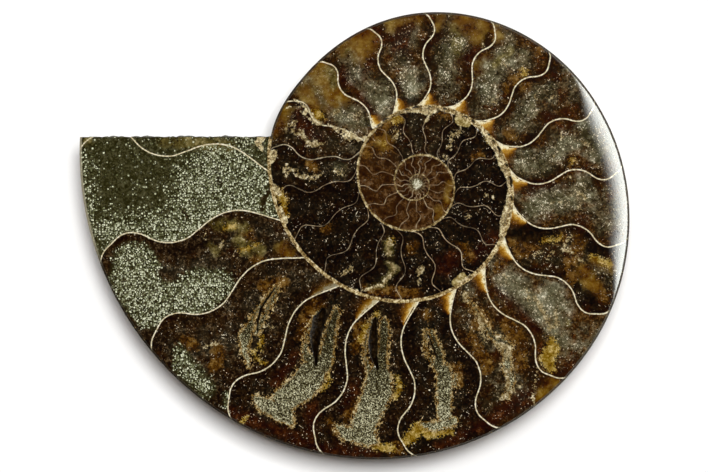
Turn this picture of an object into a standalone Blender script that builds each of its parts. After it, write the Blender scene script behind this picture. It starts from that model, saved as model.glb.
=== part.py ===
"""Half of an ammonite, sawn through the plane of its coil and polished: one solid, as it was fossilised.

The saw cut is flat and level and faces up. Underneath is the shell's own flank: the last whorl with its
weak ribs, the stepped umbilicus of the inner whorls, and the end face where the last whorl breaks off at
the mouth. Angles are counted anticlockwise from +X, in degrees, and go on past 360 as the whorls wind
inwards, so that one angle names one place on the coil. Lengths are in millimetres until the mesh is made.
"""

import math
import random

import bmesh
import bpy
import numpy as np
from mathutils import Matrix, Vector

MM = 0.001
SPECIMEN = "ammonite_half"

# The coil, in the plane of the cut: the radius of the whorl's outer wall, the venter, at each angle.
WHORL_RADII = {
    135: 85.0, 180: 79.4, 225: 72.1, 270: 64.4, 315: 56.7, 360: 49.7, 405: 44.4, 450: 40.4,
    495: 37.0, 520: 36.5, 540: 34.5, 585: 30.5, 630: 27.5, 675: 24.5, 720: 22.1, 765: 19.9,
    810: 18.0, 855: 16.0, 900: 13.8, 990: 10.9, 1080: 8.7, 1170: 6.8, 1260: 5.2, 1350: 3.8,
    1440: 2.9, 1530: 2.3, 1620: 1.8,
}  # fmt: skip
MOUTH = 172.1  # where the last whorl breaks off, at its venter
MOUTH_Y = 11.1  # on the cut the broken end is a straight edge, this far above the centre
MOUTH_LEAN = 0.25  # degrees per mm that the end leans, where it runs in over the whorl before
MOUTH_REACH = 16.0  # degrees over which the mesh columns bend round to follow the end
END_ROUGHNESS = 0.45

# The flank, under the cut.
HALF_BREADTH = 17.0  # from the cut to the flank, on the last whorl
YOUNG_BREADTH = 0.40  # the same over the venter's radius, on the inner whorls
BREADTH_CHANGE = 12.0  # how sharply the inner whorls' rule gives way to the last whorl's
SEAM = 0.24  # radius of the umbilical seam over the venter's
CREST = 0.40  # where the flank is deepest, over the venter's radius
FLANK_POWER, VENTER_POWER = 2.1, 0.60
WALL_SHARE = 0.12  # share of the flank that the steep umbilical wall takes
UMBILICAL_FILL, FILL_REACH = 2.6, 5.0  # depth and radius of the matrix left in the middle of the umbilicus
RIBS_PER_TURN = 30
RIB_HEIGHT = 0.30
RIB_SWEEP, RIB_CURL = 1.15, 0.30  # how far a rib leans and bends on its way out, in rib spacings

# The polished edge of the cut: a thin round everywhere, and a wide one where the wheel ran over it.
EDGE_DROP, EDGE_WIDTH = 0.35, 0.9
WIDE_DROP, WIDE_WIDTH = 1.9, 6.0
WIDE_MIDDLE, WIDE_HALF, WIDE_SOFT = 354.0, 42.0, 21.0
EDGE_FADE = 14.0  # degrees over which the round runs out before the inner corner of the mouth

# Open slots in the fill of four chambers, as points of angle, height in the whorl (0 at its inner wall,
# 1 at the venter) and half-width.
SLOT_DEPTH = 2.8
SLOTS = {
    "slit": ((216.2, .25, .10), (218.6, .385, .24), (220.8, .45, .20), (223.0, .50, .08)),
    "slot": ((233.5, .18, .6), (234.3, .24, 1.45), (236.2, .335, 1.25), (238.5, .41, .7), (240.9, .49, .2)),
    "hollow": ((252.6, .12, .25), (253.5, .2, .9), (254.6, .28, 1.1), (255.9, .35, .85), (258.0, .43, .2)),
    "gap": ((274.3, .23, .08), (275.4, .31, .22), (276.7, .40, .08)),
}  # fmt: skip

# Pits in the crumbly stretch of the second whorl's wall.
PITS_FROM, PITS_TO, PIT_COUNT = 684.0, 846.0, 14
PIT_SIZE = 0.6
SEED = 7

# The mesh: columns run from the umbilical seam to the venter, TUCKED rows of them inside the next seam.
COLUMNS = 120  # per turn
TURNS = 3
TUCKED_ROWS = (0, 0.06, 0.14, 0.28, 0.46, 0.70, 1)
OPEN_ROWS = (0.12, 0.25, 0.38, 0.51, 0.63, 0.75, 0.86, 0.94, 0.98, 1)
MOUTH_ROWS = (0, 0.015, 0.04, 0.075, 0.11, 0.15, 0.19, 0.235, 0.287)
MOUTH_ROWS += (0.40, 0.52, 0.64, 0.76, 0.86, 0.94, 0.985, 1)
EDGE_RINGS = (0.3, 0.62, 1.0)  # shares of the edge's width, from the rim inwards
MOUTH_STEPS = 3  # stretches of the mouth's edge between its inner corner and the rounded rim

KNOT_ANGLES = np.array(list(WHORL_RADII), float)
KNOT_LOGS = np.log(np.array(list(WHORL_RADII.values())))
KNOT_SLOPES = np.gradient(KNOT_LOGS, KNOT_ANGLES)


def smooth(low, high, value):
    share = min(1.0, max(0.0, (value - low) / (high - low)))
    return share * share * (3 - 2 * share)


def venter(angle):
    """Radius of the whorl's outer wall: a smooth curve through the logarithms of the listed radii."""
    knot = int(np.clip(np.searchsorted(KNOT_ANGLES, angle) - 1, 0, len(KNOT_ANGLES) - 2))
    step = KNOT_ANGLES[knot + 1] - KNOT_ANGLES[knot]
    f = (angle - KNOT_ANGLES[knot]) / step
    start = (1 + 2 * f) * KNOT_LOGS[knot] + f * step * KNOT_SLOPES[knot]
    end = (3 - 2 * f) * KNOT_LOGS[knot + 1] + (f - 1) * step * KNOT_SLOPES[knot + 1]
    return math.exp((1 - f) ** 2 * start + f * f * end)


def seam(angle):
    return SEAM * venter(angle)


def share_of(angle, radius):
    """How far up the flank a radius lies: 0 at the seam, 1 at the venter."""
    return (radius - seam(angle)) / (venter(angle) - seam(angle))


def place(radius, angle, down=0.0):
    turn = math.radians(angle)
    return Vector((radius * math.cos(turn), radius * math.sin(turn), -down))


def inner_corner():
    """Where the mouth's edge meets the venter of the whorl before."""
    angle = MOUTH + 330
    while place(venter(angle), angle).y > MOUTH_Y:
        angle += 0.02
    return angle


CORNER = inner_corner()


def mouth_angle(radius):
    """Direction of the broken end: a straight edge on the cut, then a line that leans on to the seam."""
    inner = venter(CORNER)
    if radius > inner:
        return 180 - math.degrees(math.asin(MOUTH_Y / radius))
    return CORNER - 360 - MOUTH_LEAN * (inner - radius)


def bent(column_angle, radius):
    """The angle of a mesh column at a radius: columns near the mouth bend to follow its edge."""
    away = (column_angle - MOUTH + 180) % 360 - 180
    return column_angle - math.exp(-((away / MOUTH_REACH) ** 2)) * (MOUTH - mouth_angle(radius))


def crossing(column_angle, wall):
    """The radius at which a column meets a wall, where wall gives a radius for each angle."""
    radius = wall(column_angle)
    for _ in range(6):
        radius = wall(bent(column_angle, radius))
    return radius


def half_breadth(angle):
    young = YOUNG_BREADTH * venter(angle)
    return (HALF_BREADTH**-BREADTH_CHANGE + young**-BREADTH_CHANGE) ** (-1 / BREADTH_CHANGE)


def edge(angle):
    """Drop and width of the rounded edge at an angle."""
    wide = smooth(WIDE_HALF, WIDE_HALF - WIDE_SOFT, abs(angle - WIDE_MIDDLE))
    left = smooth(CORNER, CORNER - EDGE_FADE, angle)
    return left * (EDGE_DROP + (WIDE_DROP - EDGE_DROP) * wide), EDGE_WIDTH + (WIDE_WIDTH - EDGE_WIDTH) * wide


def rib(angle, share):
    phase = angle * RIBS_PER_TURN / 360 + RIB_SWEEP * share * share + RIB_CURL * math.sin(math.tau * share)
    height = RIB_HEIGHT * venter(angle) / venter(MOUTH) * math.sin(math.pi * share)
    return height * math.sin(math.tau * phase)


def flank(angle, share):
    """How far the open flank lies below the cut."""
    reach = max(0.0, (SEAM + (1 - SEAM) * share - CREST) / (1 - CREST))
    drop = edge(angle)[0]
    form = max(0.0, 1 - reach**FLANK_POWER) ** VENTER_POWER
    return drop + (half_breadth(angle) - drop) * form + rib(angle, share)


def underside(angle, radius):
    """Depth of the shell below the cut: the flank, and the steep wall that joins it to the whorl before."""
    share = share_of(angle, radius)
    foot = flank(angle + 360, share_of(angle + 360, seam(angle)))
    rise = 1 - max(0.0, 1 - share / WALL_SHARE) ** 2.4
    depth = foot + (flank(angle, share) - foot) * rise
    return math.hypot(depth, UMBILICAL_FILL * math.exp(-((radius / FILL_REACH) ** 4)))


def column_radii(column):
    """Radii of one column's vertices, from its seam out to the venter or to the seam that covers it."""
    column_angle = MOUTH + column * 360 / COLUMNS
    low, high = crossing(column_angle, seam), crossing(column_angle, venter)
    if column > COLUMNS:
        high = crossing(column_angle - 360, seam)
        return [low + (high - low) * share for share in TUCKED_ROWS]
    tuck = share_of(CORNER, crossing(MOUTH, seam))
    a_turn_in = [tuck * share for share in TUCKED_ROWS] + [tuck + (1 - tuck) * share for share in OPEN_ROWS]
    shares = [a + (b - a) * column / COLUMNS for a, b in zip(MOUTH_ROWS, a_turn_in)]
    return [low + (high - low) * share for share in shares]


def add_flank(mesh):
    """The whole underside, as columns of vertices from the mouth to the middle of the umbilicus."""
    grid = []
    tucked = len(TUCKED_ROWS) - 1
    for column in range(COLUMNS * TURNS + 1):
        column_angle = MOUTH + column * 360 / COLUMNS
        line = []
        for row, radius in enumerate(column_radii(column)):
            if column >= COLUMNS and row == tucked:
                line.append(grid[column - COLUMNS][0])
                continue
            angle = bent(column_angle, radius)
            line.append(mesh.verts.new(place(radius, angle, underside(angle, radius))))
        grid.append(line)
    for before, after in zip(grid, grid[1:]):
        for row in range(min(len(before), len(after)) - 1):
            mesh.faces.new((before[row], before[row + 1], after[row + 1], after[row]))
    middle = mesh.verts.new((0, 0, -UMBILICAL_FILL))
    ring = [line[0] for line in grid[-COLUMNS - 1 :]] + grid[-1][1 : tucked + 1]
    for first, second in zip(ring, ring[1:]):
        mesh.faces.new((first, second, middle))
    return grid


def add_cut(mesh, grid):
    """The sawn face: rings of the rounded edge inside the rim, and one flat polygon within them."""
    rims = [line[-1] for line in grid[:COLUMNS]]
    rings = [rims]
    for share in EDGE_RINGS:
        ring = []
        for column in range(COLUMNS):
            column_angle = MOUTH + column * 360 / COLUMNS
            angle = bent(column_angle, crossing(column_angle, venter))
            drop, width = edge(angle)
            radius = venter(angle) - share * width
            ring.append(mesh.verts.new(place(radius, bent(column_angle, radius), drop * (1 - share) ** 2)))
        rings.append(ring)
    corner = grid[COLUMNS][-1]
    for outer, inner in zip(rings, rings[1:]):
        for column in range(COLUMNS - 1):
            mesh.faces.new((outer[column], outer[column + 1], inner[column + 1], inner[column]))
        mesh.faces.new((outer[-1], corner, inner[-1]))
    start, end = corner.co, rings[-1][0].co
    steps = [mesh.verts.new(start.lerp(end, n / MOUTH_STEPS)) for n in range(1, MOUTH_STEPS)]
    mesh.faces.new(rings[-1] + [corner] + steps)
    return [corner] + steps + [ring[0] for ring in reversed(rings)]


def add_end(mesh, grid, cut_edge):
    """The broken end of the last whorl, between its flank and the cut, with the fill's rough surface."""
    rng = random.Random(SEED)
    foot = grid[COLUMNS][len(TUCKED_ROWS) - 1 : -1] + cut_edge
    lines = [grid[0]]
    for share in (0.3, 0.7):
        line = []
        for low, high in zip(grid[0][1:-1], foot[1:-1]):
            point = low.co.lerp(high.co, share)
            thickness = min(1.0, (high.co - low.co).length / 4)
            point.y += END_ROUGHNESS * thickness * rng.uniform(-1, 1)
            line.append(mesh.verts.new(point))
        lines.append([grid[0][0]] + line + [grid[0][-1]])
    lines.append(foot)
    for below, above in zip(lines, lines[1:]):
        for i in range(len(below) - 1):
            corners = list(dict.fromkeys((below[i], below[i + 1], above[i + 1], above[i])))
            if len(corners) > 2:
                mesh.faces.new(corners)


def add_slot(mesh, points):
    """A cutter for one open slot: a blade with a rounded lower edge, bent along the slot's points."""
    stations = []
    for angle, height, half in points:
        inner = venter(angle + 360)
        stations.append((place(inner + (venter(angle) - inner) * height, angle), half))
    rings = []
    for i, (point, half) in enumerate(stations):
        along = stations[min(i + 1, len(stations) - 1)][0] - stations[max(i - 1, 0)][0]
        across = along.cross(Vector((0, 0, 1))).normalized()
        deep = SLOT_DEPTH * (0.35 + 0.65 * half / max(width for _, width in stations))
        outline = ((1, -1.0), (0.95, 0.3 * deep), (0.55, 0.85 * deep), (0, deep))
        outline += tuple((-x, down) for x, down in reversed(outline[:3]))
        corners = [point + across * half * x - Vector((0, 0, down)) for x, down in outline]
        rings.append([mesh.verts.new(corner) for corner in corners])
    for first, second in zip(rings, rings[1:]):
        for i in range(len(first)):
            j = (i + 1) % len(first)
            mesh.faces.new((first[i], first[j], second[j], second[i]))
    mesh.faces.new(rings[0])
    mesh.faces.new(rings[-1])


def add_pits(mesh):
    """Cutters for the pits: small tilted lumps in a row along the wall, none touching the next."""
    rng = random.Random(SEED)
    for n in range(PIT_COUNT):
        angle = PITS_FROM + (PITS_TO - PITS_FROM) * (n + rng.uniform(0.2, 0.8)) / PIT_COUNT
        spot = place(venter(angle) - rng.uniform(0.1, 0.7), angle, rng.uniform(-0.1, 0.1))
        size = Vector((rng.uniform(0.7, 1.5), rng.uniform(0.6, 1.0), rng.uniform(0.8, 1.1))) * PIT_SIZE
        turn = Matrix.Rotation(math.radians(angle + 90 + rng.uniform(-30, 30)), 4, "Z")
        matrix = Matrix.Translation(spot) @ turn @ Matrix.Diagonal(size.to_4d())
        bmesh.ops.create_icosphere(mesh, subdivisions=1, radius=1, matrix=matrix)


def new_object(name, mesh, centre):
    """An object of the mesh, in metres, moved so that the point centre becomes the origin."""
    bmesh.ops.recalc_face_normals(mesh, faces=mesh.faces)
    bmesh.ops.translate(mesh, verts=mesh.verts, vec=-centre)
    bmesh.ops.scale(mesh, verts=mesh.verts, vec=(MM, MM, MM))
    data = bpy.data.meshes.new(name)
    mesh.to_mesh(data)
    mesh.free()
    made = bpy.data.objects.new(name, data)
    bpy.context.scene.collection.objects.link(made)
    return made


def cut_away(body, cutter):
    cutter.hide_render = True
    cutter.display_type = "WIRE"
    boolean = body.modifiers.new("cut_" + cutter.name, "BOOLEAN")
    boolean.operation = "DIFFERENCE"
    boolean.solver = "EXACT"
    boolean.object = cutter


def stone_material():
    material = bpy.data.materials.new("polished_fossil")
    material.use_nodes = True
    shader = material.node_tree.nodes["Principled BSDF"]
    shader.inputs["Base Color"].default_value = (0.09, 0.05, 0.025, 1)
    shader.inputs["Roughness"].default_value = 0.2
    shader.inputs["Metallic"].default_value = 0.0
    return material


def main():
    for old in list(bpy.data.objects):
        bpy.data.objects.remove(old)

    mesh = bmesh.new()
    grid = add_flank(mesh)
    add_end(mesh, grid, add_cut(mesh, grid))
    low = Vector([min(v.co[i] for v in mesh.verts) for i in range(3)])
    high = Vector([max(v.co[i] for v in mesh.verts) for i in range(3)])
    centre = Vector(((low.x + high.x) / 2, (low.y + high.y) / 2, low.z))
    body = new_object(SPECIMEN, mesh, centre)

    for name, points in SLOTS.items():
        mesh = bmesh.new()
        add_slot(mesh, points)
        cut_away(body, new_object(name, mesh, centre))
    mesh = bmesh.new()
    add_pits(mesh)
    cut_away(body, new_object("pits", mesh, centre))

    body.data.materials.append(stone_material())
    body.data.shade_smooth()
    body.data.set_sharp_from_angle(angle=math.radians(40))


main()
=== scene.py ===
# %% [markdown]
# # Half an ammonite, sawn and polished
# An ammonite's shell is a tube wound in a flat coil and divided into chambers by thin curved walls, the
# septa. This one was filled with minerals in the ground, sawn through the plane of its coil and polished,
# so the cut shows every chamber. The half lies on its rounded flank and the cut faces up.
#
# The lesson builds it as one closed mesh. The solid from the CAD step gives the place and the size, and the
# looks come from fields stored in the mesh's corners, such as "how many septa back from the mouth is this
# place", which the material turns into lines, grains and stains.

import math

import bpy
import numpy as np
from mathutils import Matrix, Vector
from mathutils.geometry import delaunay_2d_cdt


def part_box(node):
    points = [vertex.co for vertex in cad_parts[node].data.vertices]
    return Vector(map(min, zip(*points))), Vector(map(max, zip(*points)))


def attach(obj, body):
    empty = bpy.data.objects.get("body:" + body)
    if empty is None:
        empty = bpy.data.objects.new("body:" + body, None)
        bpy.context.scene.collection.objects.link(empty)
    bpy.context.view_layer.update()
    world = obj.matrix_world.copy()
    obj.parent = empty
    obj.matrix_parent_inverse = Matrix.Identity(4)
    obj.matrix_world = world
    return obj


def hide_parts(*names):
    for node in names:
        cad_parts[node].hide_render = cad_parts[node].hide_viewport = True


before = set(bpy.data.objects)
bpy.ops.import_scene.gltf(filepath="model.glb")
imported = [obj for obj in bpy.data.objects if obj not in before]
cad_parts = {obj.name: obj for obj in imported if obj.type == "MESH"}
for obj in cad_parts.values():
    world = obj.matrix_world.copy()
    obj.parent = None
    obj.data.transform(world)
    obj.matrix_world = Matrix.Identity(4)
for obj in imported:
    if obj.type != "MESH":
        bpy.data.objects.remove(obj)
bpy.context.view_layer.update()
SPECIMEN = "ammonite_half"
low, high = (np.array(corner) * 1000 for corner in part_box(SPECIMEN))
print("solid, mm:", np.round(high - low, 2))

# %% [markdown]
# ## The coil
# A growing ammonite keeps its shape while it turns, so its outer wall, the venter, is close to a
# logarithmic spiral. A formula alone would miss how this one slows and swells, so a smooth curve runs
# through the logarithms of a few radii. Angles are in degrees, anticlockwise from +X, and go on past 360
# as the coil winds inwards: one angle names one place on the tube.

# %% The venter's curve
WHORL_RADII = {  # degrees: mm from the coil's centre
    135: 85.0, 180: 79.4, 225: 72.1, 270: 64.4, 315: 56.7, 360: 49.7, 405: 44.4, 450: 40.4,
    495: 37.0, 520: 36.5, 540: 34.5, 585: 30.5, 630: 27.5, 675: 24.5, 720: 22.1, 765: 19.9,
    810: 18.0, 855: 16.0, 900: 13.8, 990: 10.9, 1080: 8.7, 1170: 6.8, 1260: 5.2, 1350: 3.8,
    1440: 2.9, 1530: 2.3, 1620: 1.8,
}  # fmt: skip
KNOT_ANGLES = np.array(list(WHORL_RADII), float)
KNOT_LOGS = np.log(np.array(list(WHORL_RADII.values())))


def through(knots, values, at):
    """A smooth curve through points, read at some places."""
    slopes = np.gradient(values, knots)
    knot = np.clip(np.searchsorted(knots, at) - 1, 0, len(knots) - 2)
    step = knots[knot + 1] - knots[knot]
    f = (at - knots[knot]) / step
    start = (1 + 2 * f) * values[knot] + f * step * slopes[knot]
    end = (3 - 2 * f) * values[knot + 1] + (f - 1) * step * slopes[knot + 1]
    return (1 - f) ** 2 * start + f * f * end


def venter(angle):
    """Radius in mm of the tube's outer wall at each angle."""
    angle = np.asarray(angle, float)
    listed = np.minimum(angle, KNOT_ANGLES[-1])
    shrink = np.gradient(KNOT_LOGS, KNOT_ANGLES)[-1]
    return np.exp(through(KNOT_ANGLES, KNOT_LOGS, listed) + (angle - listed) * shrink)


def place(radius, angle):
    """X and Y in mm from the coil's centre."""
    turn = np.radians(angle)
    return radius * np.cos(turn), radius * np.sin(turn)


def smooth(start, stop, value):
    """0 before start, 1 after stop, and a soft step between."""
    share = np.clip((value - start) / (stop - start), 0, 1)
    return share * share * (3 - 2 * share)


print("radius at the mouth and four turns in:", venter([172, 1612]).round(1))

# %% [markdown]
# ## The broken mouth
# The last whorl ends in a break. On the cut the break is a straight edge that points at no centre; below
# the cut it leans in over the older whorl. Columns of the mesh near the break bend round to follow it, so
# the same grid serves the whole flank.

# %% Where the tube breaks off
MOUTH = 172.1  # degrees, where the venter breaks off
MOUTH_Y = 11.1  # mm above the coil's centre, where the straight edge lies
MOUTH_LEAN = 0.25  # degrees per mm that the break leans, over the older whorl
MOUTH_REACH = 16.0  # degrees over which the columns bend
SEAM = 0.24  # radius of the umbilical seam over the venter's


def inner_corner():
    """The angle at which the mouth's edge meets the venter of the whorl before."""
    angle = MOUTH + 330
    while place(venter(angle), angle)[1] > MOUTH_Y:
        angle += 0.02
    return angle


CORNER = inner_corner()
CORNER_RADIUS = float(venter(CORNER))


def mouth_angle(radius):
    """Direction of the break at each radius."""
    outer = 180 - np.degrees(np.arcsin(np.clip(MOUTH_Y / radius, -1, 1)))
    return np.where(radius > CORNER_RADIUS, outer, CORNER - 360 - MOUTH_LEAN * (CORNER_RADIUS - radius))


def bent(column_angle, radius):
    """The angle of a mesh column at a radius."""
    away = (column_angle - MOUTH + 180) % 360 - 180
    return column_angle - np.exp(-((away / MOUTH_REACH) ** 2)) * (MOUTH - mouth_angle(radius))


def seam(angle):
    """Radius in mm of the umbilical seam, where a whorl's flank starts."""
    return SEAM * venter(angle)


def crossing(column_angle, wall):
    """The radius at which each column meets a wall."""
    radius = wall(column_angle)
    for _ in range(6):
        radius = wall(bent(column_angle, radius))
    return radius


print("inner corner of the mouth:", round(CORNER, 1), "degrees,", round(CORNER_RADIUS, 1), "mm out")

# %% [markdown]
# ## The flank's form
# Under the cut the shell is a low dish: steepest at the venter, deepest two fifths of the way out, and
# dropping into the navel, the umbilicus, at a steep wall. Weak ribs sweep forward over it. The edge of the
# cut is rounded by polishing, and on the right the wheel took a wide soft bevel.

# %% Depth of the shell below the cut
HALF_BREADTH = 17.0  # mm, from the cut to the flank on the last whorl
YOUNG_BREADTH = 0.40  # the same over the venter's radius, on the inner whorls
BREADTH_CHANGE = 12.0  # how sharply the inner whorls' rule gives way to the last whorl's
CREST = 0.40  # where the flank is deepest, over the venter's radius
FLANK_POWER, VENTER_POWER = 2.1, 0.60  # how flat the crest is, and how round the venter
WALL_SHARE, WALL_POWER = 0.12, 2.4  # share of the flank in the umbilical wall, and its curve
UMBILICAL_FILL, FILL_REACH = 2.6, 5.0  # mm, depth and radius of the stone left in the umbilicus
RIBS_PER_TURN = 30
RIB_HEIGHT = 0.30  # mm, on the last whorl
RIB_SWEEP, RIB_CURL = 1.15, 0.30  # how far a rib leans and bends on its way out, in rib spacings
EDGE_DROP, EDGE_WIDTH = 0.35, 0.9  # mm, the narrow round
WIDE_DROP, WIDE_WIDTH = 1.9, 6.0  # mm, the wide bevel
WIDE_MIDDLE, WIDE_HALF, WIDE_SOFT = 361.5, 34.5, 19.0  # degrees: middle, half-length, fading ends
EDGE_FADE = 14.0  # degrees over which the round runs out before the mouth's inner corner


def share_of(angle, radius):
    """0 at a whorl's seam and 1 at its venter."""
    return (radius - seam(angle)) / (venter(angle) - seam(angle))


def half_breadth(angle):
    """Depth in mm below the cut at the flank's crest."""
    young = YOUNG_BREADTH * venter(angle)
    return (HALF_BREADTH**-BREADTH_CHANGE + young**-BREADTH_CHANGE) ** (-1 / BREADTH_CHANGE)


def edge(angle):
    """Drop and width of the cut's rounded edge."""
    wide = smooth(WIDE_HALF, WIDE_HALF - WIDE_SOFT, np.abs(angle - WIDE_MIDDLE))
    left = smooth(CORNER, CORNER - EDGE_FADE, angle)
    drop = left * (EDGE_DROP + (WIDE_DROP - EDGE_DROP) * wide)
    return drop, EDGE_WIDTH + (WIDE_WIDTH - EDGE_WIDTH) * wide


def rib(angle, share):
    """How far the ribs swell the flank, in mm."""
    phase = angle * RIBS_PER_TURN / 360 + RIB_SWEEP * share * share + RIB_CURL * np.sin(math.tau * share)
    return RIB_HEIGHT * venter(angle) / venter(MOUTH) * np.sin(math.pi * share) * np.sin(math.tau * phase)


def flank(angle, share):
    """Depth below the cut without the umbilical wall."""
    reach = np.maximum(0, (SEAM + (1 - SEAM) * share - CREST) / (1 - CREST))
    drop = edge(angle)[0]
    form = np.maximum(0, 1 - reach**FLANK_POWER) ** VENTER_POWER
    return drop + (half_breadth(angle) - drop) * form + rib(angle, share)


def underside(angle, radius):
    """Depth below the cut at a place on the flank."""
    share = share_of(angle, radius)
    foot = flank(angle + 360, share_of(angle + 360, seam(angle)))
    rise = 1 - np.maximum(0, 1 - share / WALL_SHARE) ** WALL_POWER
    depth = foot + (flank(angle, share) - foot) * rise
    return np.hypot(depth, UMBILICAL_FILL * np.exp(-((radius / FILL_REACH) ** 4)))


print("deepest:", round(float(half_breadth(MOUTH) + RIB_HEIGHT), 1), "mm")

# %% [markdown]
# ## The flank's grid
# Columns run outwards from the umbilical seam, and each turn's inner rows tuck under the next turn's seam
# and share its vertices, so the coil closes with no gap. All columns are worked out at once as arrays.

# %% Columns of the flank
COLUMNS, TURNS = 480, 3  # columns per turn
TUCKED = np.linspace(0, 1, 12) ** 1.4  # rows as shares, from a whorl's seam to the next turn's
OPEN = 1 - (1 - np.linspace(0, 1, 27)[1:]) ** 1.5  # rows from there to the venter
points = []  # blocks of vertices: X, Y and Z in mm from the coil's centre and the cut


def add_points(x, y, z):
    """Adds vertices and returns their numbers."""
    start = sum(len(block) for block in points)
    points.append(np.stack([np.broadcast_to(c, np.shape(x)).ravel() for c in (x, y, z)], axis=1))
    return start + np.arange(np.size(x)).reshape(np.shape(x))


def flank_columns(first, last, shares, outer_wall):
    """Radius and angle of the vertices of some columns, one line of vertices for each column."""
    column_angle = MOUTH + np.arange(first, last) * 360 / COLUMNS
    inner = crossing(column_angle, seam)[:, None]
    outer = outer_wall(column_angle)[:, None]
    radius = inner + (outer - inner) * shares
    return radius, bent(column_angle[:, None], radius)


tuck = share_of(CORNER, crossing(MOUTH, seam))
whole_column = np.concatenate([tuck * TUCKED, tuck + (1 - tuck) * OPEN])
outer_radius, outer_angle = flank_columns(0, COLUMNS + 1, whole_column, lambda a: crossing(a, venter))
inner_radius, inner_angle = flank_columns(
    COLUMNS + 1, COLUMNS * TURNS + 1, TUCKED, lambda a: crossing(a - 360, seam)
)
outer_grid = add_points(*place(outer_radius, outer_angle), -underside(outer_angle, outer_radius))
inner_grid = add_points(*place(inner_radius, inner_angle), -underside(inner_angle, inner_radius))
tucked_row = len(TUCKED) - 1
outer_grid[-1, tucked_row] = outer_grid[0, 0]
seam_line = np.concatenate([outer_grid[:, 0], inner_grid[:, 0]])
inner_grid[:, -1] = seam_line[1 : len(inner_grid) + 1]
print("columns:", len(outer_grid) + len(inner_grid), "rows:", outer_grid.shape[1])

# %% [markdown]
# ## Slots and pits
# Where the fill didn't quite close, the cut shows open slots lined with crystals, and the oldest crumbly
# stretch of the inner wall has lost crumbs. These are real hollows, so they are pressed into the mesh and
# not painted. A slot is a stroke: a few points of angle, height in the tube (0 at its inner wall, 1 at the
# venter) and half-width in mm. The same kind of stroke will place the minerals later.

# %% Strokes, slots and rough stone
SLOT_DEPTH = 2.8  # mm, in the widest slot
SLOTS = {
    "slit": ((216.2, .25, .10), (218.6, .385, .24), (220.8, .45, .20), (223.0, .50, .08)),
    "slot": ((233.5, .18, .6), (234.3, .24, 1.45), (236.2, .335, 1.25), (238.5, .41, .7), (240.9, .49, .2)),
    "hollow": ((252.6, .12, .25), (253.5, .2, .9), (254.6, .28, 1.1), (255.9, .35, .85), (258.0, .43, .2)),
    "gap": ((274.3, .23, .08), (275.4, .31, .22), (276.7, .40, .08)),
}  # fmt: skip
PITS_FROM, PITS_TO = 684.0, 846.0  # degrees
PIT_COUNT, PIT_DEPTH = 26, 0.8  # how many, and mm


def stroke_line(stroke):
    """A stroke's points as X, Y and half-width in mm."""
    angle, height, half = np.array(stroke, float).T
    inner = venter(angle + 360)
    return (*place(inner + (venter(angle) - inner) * height, angle), half)


def inside_stroke(x, y, stroke):
    """How deep each place lies in a stroke: 1 on its middle line, 0 on its edge, and less outside."""
    px, py, half = stroke_line(stroke)
    level = np.full(np.shape(x), -1.0)
    for i in range(max(1, len(px) - 1)):
        j = min(i + 1, len(px) - 1)
        dx, dy = px[j] - px[i], py[j] - py[i]
        along = np.clip(((x - px[i]) * dx + (y - py[i]) * dy) / max(dx * dx + dy * dy, 1e-9), 0, 1)
        away = np.hypot(x - px[i] - along * dx, y - py[i] - along * dy)
        level = np.maximum(level, 1 - away / (half[i] + along * (half[j] - half[i])))
    return level


def rough(x, y, size, seed):
    """Random bumps from -1 to 1, about size mm apart: grid values with soft blends between them."""
    side = 512
    table = np.random.default_rng(seed).uniform(-1, 1, (side, side))
    u, v = np.asarray(x) / size + 200, np.asarray(y) / size + 200
    i, j = np.floor(u).astype(int), np.floor(v).astype(int)
    f, g = smooth(0, 1, u - i), smooth(0, 1, v - j)
    i, j, right, up = i % side, j % side, (i + 1) % side, (j + 1) % side
    near = table[i, j] * (1 - f) + table[right, j] * f
    far = table[i, up] * (1 - f) + table[right, up] * f
    return near * (1 - g) + far * g


pit_rng = np.random.default_rng(7)
pit_steps = (np.arange(PIT_COUNT) + pit_rng.uniform(0.2, 0.8, PIT_COUNT)) / PIT_COUNT
pit_angles = PITS_FROM + (PITS_TO - PITS_FROM) * pit_steps
pit_gaps = pit_rng.uniform(-0.2, 0.6, PIT_COUNT)  # mm from the wall, inwards
pit_sizes = pit_rng.uniform(0.25, 0.6, PIT_COUNT)  # mm, half across
print(len(SLOTS), "slots and", PIT_COUNT, "pits")

# %% [markdown]
# ## The cut's mesh
# The cut is one sheet of small triangles. A Delaunay triangulation fills the outline, keeps the line of the
# whorls' wall as edges, so no triangle lies on two whorls, and takes a finer lattice of points round the
# slots and along the crumbly wall. A subdivided grid couldn't follow those lines.

# %% Points of the cut
LATTICE, FINE = 0.47, 0.20  # mm between points
LATTICE_MARGIN, FINE_MARGIN = 0.24, 0.12  # mm left free along the whorls' wall
POINT_STEP = 0.45  # mm between points of the wall's line and of the mouth's edge
RING_OFFSETS = (0.15, 0.35, 0.6, 0.9)  # mm from the rim to the rings of points that round the edge
RING_MARGIN = 0.2  # mm left free inside the last ring
SPIRAL_END = 1600.0  # degrees, where the wall's line stops
CUT_SPAN = (-80, 51), (-66, 41.5)  # mm in X and in Y, a little more than the cut takes
FINE_ROUND_SLOTS = 0.9  # mm
FINE_BEFORE_WALL, FINE_BEYOND_WALL, FINE_ENDS = 2.6, 0.8, 4  # mm, mm, degrees past the first and last pit


def tube_angle(x, y):
    """The coil angle of the whorl that holds each place."""
    radius = np.hypot(x, y)
    first = CORNER - 360
    theta = (np.degrees(np.arctan2(y, x)) - first) % 360 + first
    angle = theta.copy()
    for turn in range(1, 5):
        angle = np.where(venter(theta + 360 * turn) >= radius, theta + 360 * turn, angle)
    return angle


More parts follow.
